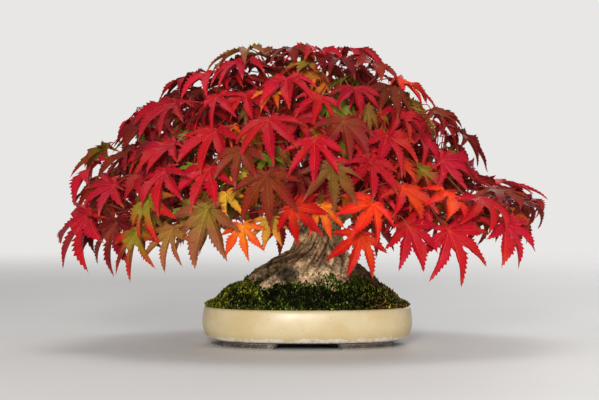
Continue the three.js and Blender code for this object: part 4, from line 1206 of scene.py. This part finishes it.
def moss_places(rng):
    """Roots and ways up of buds over the mat and its edge."""
    x = rng.uniform(-POT_HALF_LENGTH, POT_HALF_LENGTH, 3 * MOSS_BUDS)
    y = rng.uniform(-POT_HALF_WIDTH, POT_HALF_WIDTH, 3 * MOSS_BUDS)
    out = oval_share(x, y, MOSS_EDGE_INSET)
    inside = (out < 1) & (mound_share(x, y) > MOSS_MIDDLE)
    x, y, out = (values[inside][:MOSS_BUDS] for values in (x, y, out))
    edge = (POT_HALF_LENGTH - MOSS_EDGE_INSET) * (1 - out)
    wide, tall = MOSS_ROUND
    z = np.where(edge < wide, RIM_Z + 0.4 + tall * np.sqrt(np.clip(edge / wide, 0, 1)), moss_top(x, y))
    flat = columns(x, y) / np.hypot(x, y)[:, None] * (0.9 * (1 - smoothstep(edge, 0, 5)))[:, None]
    up = np.column_stack([flat + rng.normal(0, 0.22, (len(x), 2)), np.ones(len(x))])
    return columns(x, y, z - 0.5), unit(up)


def rim_places(rng):
    """Roots and ways up of buds that lap over the pot's rim."""
    turn = rng.uniform(0, 2 * math.pi, RIM_BUDS)
    x, y = on_oval(turn, rng.uniform(2.6, 4.2, RIM_BUDS))
    out = columns(x / POT_HALF_LENGTH, y / POT_HALF_WIDTH) + rng.normal(0, 0.3, (RIM_BUDS, 2))
    up = np.column_stack([out, rng.uniform(0.2, 0.9, RIM_BUDS)])
    return columns(x, y, RIM_Z + rng.uniform(0.2, 1.2, RIM_BUDS)), unit(up)


def creeping_places(rng, wood, normals):
    """Roots and ways up of buds on the low parts of the roots."""
    x, y, z = wood.T
    over = z - soil_height(mound_share(x, y)) - MOSS_THICK
    cover = 1 + 7 * smoothstep(-y, 27, 32) * smoothstep(x, 4, 12) + 3.5 * smoothstep(x, 26, 40)
    cover = cover + 2.5 * smoothstep(-x, 20, 34) + 6 * noise_at(wood, 0.11, 3.7)
    usable = (over > -1.5) & (over < cover) & (normals[:, 2] > -0.1) & (np.hypot(x - 6, y) > 18)
    picked = np.flatnonzero(usable)[rng.integers(0, usable.sum(), CREEP_BUDS)]
    up = unit(normals[picked] + (0, 0, 0.8) + rng.normal(0, 0.2, (CREEP_BUDS, 3)))
    return wood[picked] - 0.3 * normals[picked] + rng.normal(0, 0.3, (CREEP_BUDS, 3)), up


def add_buds(shape, rng, root, up):
    """A small pointed tuft at each root, darkened below as painted shade and brightened at its tip as a
    painted highlight.
    """
    count = len(root)
    side = unit(np.cross(up, (0.3, 0.9, 0.1)))
    other = np.cross(up, side)
    spin = rng.uniform(0, 2 * math.pi, count)
    wide = rng.uniform(*BUD_WIDE, count)
    tall = rng.uniform(*BUD_TALL, count)
    tall[rng.uniform(0, 1, count) > 0.94] *= 1.4
    corners = []
    for k in range(BUD_SIDES):
        x, y = polar(wide, spin + 2 * math.pi * k / BUD_SIDES).T
        corners.append(root + x[:, None] * side + y[:, None] * other)
    corners.append(root + up * tall[:, None])
    points = np.stack(corners, axis=1).reshape(-1, 3)
    bud = [(k, (k + 1) % BUD_SIDES, BUD_SIDES) for k in range(BUD_SIDES)]
    bud.append(tuple(reversed(range(BUD_SIDES))))
    faces = [[start + k for k in face] for start in range(0, len(points), len(corners)) for face in bud]
    # Random tone for each bud, times painted shade at its base corners and a painted highlight at its tip
    shade = np.outer(np.exp(rng.normal(-0.5, 1.0, count)), [BUD_PAINTED_SHADE] * BUD_SIDES + [BUD_PAINTED_HIGHLIGHT])
    shape.add(points, faces, tint=moss_tint(points, shade))


def build_moss(wood, normals):
    """The mat from its underside over its edge to the middle of its top, with buds all over it."""
    shape = Shape()
    rings = [pot_ring(SOIL_EDGE_INSET, soil_height(share) + SOIL_GAP, share) for share in MOSS_UNDER_SHARES]
    rings += [pot_ring(inset, RIM_Z + over) for inset, over in MOSS_EDGE]
    for share in np.linspace(0.985, MOSS_MIDDLE, MOSS_TOP_RINGS):
        ring = pot_ring(SOIL_EDGE_INSET, 0, share)
        ring[:, 2] = moss_top(ring[:, 0], ring[:, 1])
        ring[:, 2] += MOSS_GRAIN * noise_at(ring, 0.5, 9.1)
        rings.append(ring)
    # The mat under the buds is darkened as painted shade
    shape.add_rings(rings, tint=moss_tint(np.vstack(rings), BUD_PAINTED_SHADE))
    rng = np.random.default_rng(MOSS_SEED)
    add_buds(shape, rng, *moss_places(rng))
    add_buds(shape, rng, *rim_places(rng))
    add_buds(shape, rng, *creeping_places(rng, wood, normals))
    add_piece("moss_mat", shape, ["moss"], ["moss"], smooth=25)


# Pot


def foot_rings(sign_x, sign_y):
    """Sections of a ledge foot along the oval, chamfered at the sole and shorter there than at its top."""
    top = FOOT_HEIGHT + FOOT_SINK

    def corner(inset, x, z):
        turn = math.acos(min(1, (x / (POT_HALF_LENGTH - FOOT_INSET)) ** (OVAL_POWER / 2)))
        out_x, out_y = on_oval(turn, FOOT_INSET + inset)
        return (sign_x * out_x, sign_y * out_y, z)

    rings = []
    for share in np.linspace(0, 1, FOOT_STATIONS):
        at_top = FOOT_FROM_X + (FOOT_TO_X - FOOT_FROM_X) * share
        at_sole = FOOT_FROM_X + FOOT_TAPER + (FOOT_TO_X - FOOT_FROM_X - 2 * FOOT_TAPER) * share
        near_sole = at_sole + (at_top - at_sole) * FOOT_BEVEL / top
        section = [
            (0, at_top, top), (FOOT_WIDTH, at_top, top), (FOOT_WIDTH, near_sole, FOOT_BEVEL),
            (FOOT_WIDTH - FOOT_BEVEL, at_sole, 0), (FOOT_BEVEL, at_sole, 0), (0, near_sole, FOOT_BEVEL),
        ]
        rings.append(np.array([corner(*place) for place in section]))
    return rings if sign_x * sign_y > 0 else [ring[::-1] for ring in rings]


def build_pot():
    """The glazed bowl with its two drainage holes, on four bare feet."""
    bowl = helper_mesh("bowl", [[pot_ring(inset, z) for inset, z in POT_PROFILE]])
    helpers = [bowl]
    for x in (-HOLE_X, HOLE_X):
        rows = [(z, x, 0, HOLE_RADIUS, HOLE_RADIUS) for z in (0.5 * FOOT_HEIGHT, FLOOR_Z + 2)]
        drill = helper_mesh("drill", [level_rings(rows, HOLE_SIDES)])
        cut = bowl.modifiers.new("drainage", "BOOLEAN")
        settings(cut, operation="DIFFERENCE", solver="EXACT", object=drill)
        helpers.append(drill)
    points, _, faces = modified(helpers)
    shape = Shape()
    shape.add(points, faces)
    for sign_x in (-1, 1):
        for sign_y in (-1, 1):
            shape.add_rings(foot_rings(sign_x, sign_y), kind=1)
    add_piece("glazed_pot", shape, ["glaze", "clay"], ["pot"], smooth=40)


# Materials


def rgba(colour):
    return (*linear(colour), 1.0)


class Shader:
    """A procedural material built node by node. Its colour starts as given, or as the points' tint, and gets
    one cover after the other. A colour may be three numbers of 0 to 255."""

    def __init__(self, name, colour=None, **sockets):
        self.material = bpy.data.materials.new(name)
        self.material.use_nodes = True
        self.tree = self.material.node_tree
        self.surface = self.tree.nodes["Principled BSDF"].inputs
        for key, value in sockets.items():
            self.surface[key.replace("_", " ")].default_value = value
        self.colour = colour or self.attribute("tint")

    def node(self, kind, inputs=None, output=0, **values):
        made = settings(self.tree.nodes.new("ShaderNode" + kind), **values)
        for key, value in (inputs or {}).items():
            self.put(value, made.inputs[key])
        return made.outputs[output]

    def put(self, value, socket):
        if isinstance(value, bpy.types.NodeSocket):
            self.tree.links.new(value, socket)
        else:
            socket.default_value = value

    def maths(self, operation, a, b=0.0):
        return self.node("Math", {0: a, 1: b}, operation=operation)

    def times(self, a, b):
        return self.maths("MULTIPLY", a, b)

    def plus(self, a, b):
        return self.maths("ADD", a, b)

    def fade(self, value, low, high, to_low=0.0, to_high=1.0):
        inputs = {0: value, 1: low, 2: high, 3: to_low, 4: to_high}
        return self.node("MapRange", inputs, interpolation_type="SMOOTHSTEP")

    def mix(self, share, a, b, blend_type="MIX"):
        a, b = (rgba(each) if isinstance(each, tuple) and len(each) == 3 else each for each in (a, b))
        return self.node("Mix", {0: share, 6: a, 7: b}, output=2, data_type="RGBA", blend_type=blend_type)

    def times_colour(self, red, green, blue):
        return self.mix(1.0, self.colour, (red, green, blue, 1), "MULTIPLY")

    def cover(self, share, colour):
        self.colour = self.mix(share, self.colour, colour)

    def attribute(self, name, output=0):
        return self.node("Attribute", output=output, attribute_name=name)

    def place(self):
        return self.node("TexCoord", output=3)

    def height(self):
        return self.node("SeparateXYZ", {0: self.place()}, output=2)

    def stretched(self, scale=(1, 1, 1)):
        return self.node("Mapping", {0: self.place(), 3: scale})

    def noise(self, scale, detail=3.0, rough=0.55, stretch=(1, 1, 1)):
        inputs = {"Vector": self.stretched(stretch), "Scale": scale, "Detail": detail, "Roughness": rough}
        return self.node("TexNoise", inputs)

    def cells(self, scale, stretch=(1, 1, 1)):
        return self.node("TexVoronoi", {"Vector": self.stretched(stretch), "Scale": scale})

    def finish(self, roughness, height=None, strength=0.0, distance=0.0):
        if height is not None:
            inputs = {"Height": height, "Strength": strength, "Distance": distance}
            self.put(self.node("Bump", inputs), self.surface["Normal"])
        self.put(self.colour, self.surface["Base Color"])
        self.put(roughness, self.surface["Roughness"])
        return self.material


def leaf_material():
    s = Shader("maple_leaf", Specular_IOR_Level=0.12)
    parts = s.node("SeparateXYZ", {0: s.attribute("vein", 1)}).node.outputs
    rung, across, share = (parts[i] for i in range(3))
    aside = s.maths("ABSOLUTE", across)
    middle = s.times(s.fade(aside, 0.03, 0.14, 1, 0), s.fade(share, 0.75, 1.0, 1, 0))
    between = s.maths("PINGPONG", s.maths("SUBTRACT", rung, s.times(aside, 0.85)), 0.5)
    side = s.times(s.fade(between, 0.02, 0.12, 0.55, 0), s.fade(aside, 0.5, 1.0, 1, 0.2))
    veins = s.maths("MAXIMUM", middle, side)
    grain = s.noise(900, 2)
    s.cover(s.times(veins, 0.62), s.mix(0.12, s.times_colour(1.5, 1.9, 1.6), (255, 180, 120)))
    s.cover(s.times(s.fade(aside, 0.7, 1.05), 0.4), s.times_colour(0.5, 0.4, 0.4))
    s.cover(s.times(s.fade(s.noise(60, 3), 0.52, 0.72), 0.6), s.mix(0.28, s.colour, (196, 92, 30)))
    deeper = s.times_colour(0.5, 0.45, 0.5)
    s.cover(s.fade(s.noise(150, 4, 0.7), 0.5, 0.72, 0, 0.55), deeper)
    s.cover(s.fade(grain, 0.45, 0.75, 0, 0.45), deeper)
    s.cover(s.times(s.attribute("under", 2), 0.8), s.mix(0.12, s.colour, (214, 140, 110)))
    height = s.plus(s.times(veins, -0.6), s.times(grain, 0.35))
    return s.finish(s.fade(grain, 0.3, 0.7, 0.4, 0.55), height, 0.5, 0.0004)


def bark_material():
    s = Shader("maple_bark", Specular_IOR_Level=0.3)
    streaks = s.noise(170, 5, 0.65, (1, 1, 0.16))
    crumbs = s.noise(430, 3, 0.6)
    dark = s.times_colour(0.22, 0.17, 0.13)
    pale = s.mix(0.03, s.times_colour(1.8, 1.74, 1.66), (236, 214, 178))
    s.cover(s.fade(streaks, 0.53, 0.63, 0, 0.8), dark)
    s.cover(s.fade(streaks, 0.47, 0.38), pale)
    s.cover(s.fade(crumbs, 0.56, 0.64, 0, 0.8), dark)
    s.cover(s.fade(crumbs, 0.46, 0.38, 0, 0.7), pale)
    height = s.plus(s.times(streaks, 0.9), s.times(crumbs, 0.6))
    height = s.plus(height, s.times(s.cells(420, (1, 1, 0.5)), 0.25))
    return s.finish(s.fade(crumbs, 0.3, 0.7, 0.75, 0.95), height, 0.8, 0.0012)


def grainy_material(name, specular, scale, low, high, darker, roughness, strength, distance):
    """The points' tint with fine darker grains."""
    s = Shader(name, Specular_IOR_Level=specular)
    grain = s.noise(scale, 2)
    s.cover(s.fade(grain, low, high), s.times_colour(*darker))
    return s.finish(roughness, grain, strength, distance)


def glaze_material():
    s = Shader("cream_glaze", (221, 205, 163), Coat_Weight=0.3, Coat_Roughness=0.26, Specular_IOR_Level=0.35)
    specks = s.noise(520, 2, 0.5)
    s.cover(s.fade(s.noise(34, 4, 0.6, (1, 1, 1.4)), 0.36, 0.7), (211, 188, 139))
    s.cover(s.times(s.fade(s.height(), 0.017, 0.0062), 0.45), (208, 182, 130))
    s.cover(s.fade(specks, 0.66, 0.74, 0, 0.35), (150, 120, 78))
    edge = s.plus(s.height(), s.times(specks, 0.0012))
    ragged = s.plus(edge, s.times(s.noise(150, 4, 0.7), 0.006))
    broken = s.fade(s.noise(210, 3, 0.6), 0.4, 0.52, 0.25, 0.9)
    s.cover(s.times(s.fade(ragged, 0.0124, 0.0108), broken), (240, 237, 230))
    bare = s.fade(edge, 0.0062, 0.0056)
    s.cover(bare, (70, 58, 50))
    return s.finish(s.plus(s.times(bare, 0.4), 0.42), s.noise(90, 2), 0.12, 0.0008)


def clay_material():
    s = Shader("bare_clay", (64, 55, 49), Specular_IOR_Level=0.4)
    specks = s.noise(700, 3)
    s.cover(s.fade(s.noise(90, 3), 0.4, 0.65), (98, 88, 79))
    s.cover(s.fade(specks, 0.56, 0.68), (150, 140, 126))
    # Paler bands along the top and the sole of each foot
    pale_edge_bands = s.maths("MAXIMUM", s.fade(s.height(), 0.0034, 0.0042), s.fade(s.height(), 0.0012, 0.0005))
    s.cover(s.times(pale_edge_bands, 0.7), (176, 166, 150))
    return s.finish(0.5, specks, 0.5, 0.0004)


def soil_material():
    s = Shader("soil", (46, 32, 22), Specular_IOR_Level=0.2)
    s.cover(s.fade(s.noise(260, 4), 0.4, 0.62), (98, 70, 44))
    return s.finish(0.95, s.cells(520), 0.9, 0.0012)


def screen_material():
    s = Shader("screen_plastic", (28, 30, 33), Specular_IOR_Level=0.5)
    grain = s.noise(1500, 2)
    s.cover(s.fade(grain, 0.4, 0.65), (46, 48, 52))
    return s.finish(0.55, grain, 0.3, 0.0002)


def floor_material():
    """Pale paper that fades out into the backdrop."""
    s = Shader("pale_floor", (226, 224, 221), Specular_IOR_Level=0.3)
    away = s.node("VectorMath", {0: s.place()}, output=1, operation="LENGTH")
    s.put(s.fade(away, FLOOR_FADE_FROM, FLOOR_RADIUS, 1, 0), s.surface["Alpha"])
    s.cover(s.fade(s.noise(3, 2), 0.3, 0.7), (231, 229, 226))
    return s.finish(0.6)


MATERIALS = {
    "leaf": leaf_material(),
    "stalk": grainy_material("leaf_stalk", 0.5, 600, 0.4, 0.7, (0.45, 0.4, 0.4), 0.45, 0.3, 0.0002),
    "bark": bark_material(),
    "moss": grainy_material("moss", 0.06, 1400, 0.5, 0.7, (0.4, 0.45, 0.35), 0.75, 0.5, 0.0006),
    "glaze": glaze_material(),
    "clay": clay_material(),
    "soil": soil_material(),
    "screen": screen_material(),
}


# Studio


def add_camera():
    camera = add_object("camera", bpy.data.cameras.new("camera"))
    settings(camera.data, sensor_width=SENSOR, lens=FOCAL_PIXELS * SENSOR / PHOTO_WIDTH)
    camera.location = to_frame([CAMERA_X, -CAMERA_DISTANCE, CAMERA_Z])
    pitch = math.atan((PHOTO_HEIGHT / 2 - HORIZON_ROW) / FOCAL_PIXELS)
    camera.rotation_euler = (math.pi / 2 - pitch, 0, 0)
    bpy.context.scene.camera = camera


def add_studio():
    """Floor, lights and a backdrop that only the camera sees, over a dimmer sky."""
    corners = [(x * FLOOR_RADIUS, y * FLOOR_RADIUS, 0) for x, y in ((-1, -1), (1, -1), (1, 1), (-1, 1))]
    floor = add_mesh("floor", from_frame(corners), [(0, 1, 2, 3)])
    floor.data.materials.append(floor_material())
    for name, place, size, power, colour in LIGHTS:
        light = add_object(name, bpy.data.lights.new(name, "AREA"))
        settings(light.data, shape="DISK", size=size, energy=power, color=colour)
        light.location = place
        light.rotation_euler = (Vector(LIGHTS_AIM) - Vector(place)).to_track_quat("-Z", "Y").to_euler()
    world = bpy.data.worlds.new("studio")
    world.use_nodes = True
    nodes = world.node_tree.nodes
    sky = nodes["Background"]
    kinds = ("Background", "LightPath", "MixShader")
    backdrop, seen, choose = (nodes.new("ShaderNode" + kind) for kind in kinds)
    sky.inputs[0].default_value = SKY
    sky.inputs[1].default_value = SKY_STRENGTH
    backdrop.inputs[0].default_value = rgba(BACKDROP)
    for source, target in (
        (seen.outputs["Is Camera Ray"], choose.inputs[0]),
        (sky.outputs[0], choose.inputs[1]),
        (backdrop.outputs[0], choose.inputs[2]),
        (choose.outputs[0], nodes["World Output"].inputs[0]),
    ):
        world.node_tree.links.new(source, target)
    bpy.context.scene.world = world
    bpy.context.scene.view_settings.view_transform = "Standard"


def main():
    add_camera()
    shoots = wanted_shoots()
    for index, shoot in enumerate(shoots):
        shoot["number"] = f"{index + 1:02d}"
        settle(shoot)
        add_stem(shoot)
    add_inner_leaves(shoots)
    draw = random.Random(LEAF_SEED)
    templates = {
        True: [leaf_template(draw, True) for _ in range(FINE_TEMPLATES)],
        False: [leaf_template(draw, False) for _ in range(PLAIN_TEMPLATES)],
    }
    for shoot in shoots:
        build_spray(shoot, templates, draw)
    lines = branch_lines()
    wood, normals = build_wood(lines)
    build_twigs(lines, shoots)
    build_moss(wood, normals)
    build_pot()
    kept = {"soil": "soil", "drainage_screen_left": "screen", "drainage_screen_right": "screen"}
    for node, material in kept.items():
        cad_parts[node].data.materials.clear()
        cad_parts[node].data.materials.append(MATERIALS[material])
    add_studio()


main()
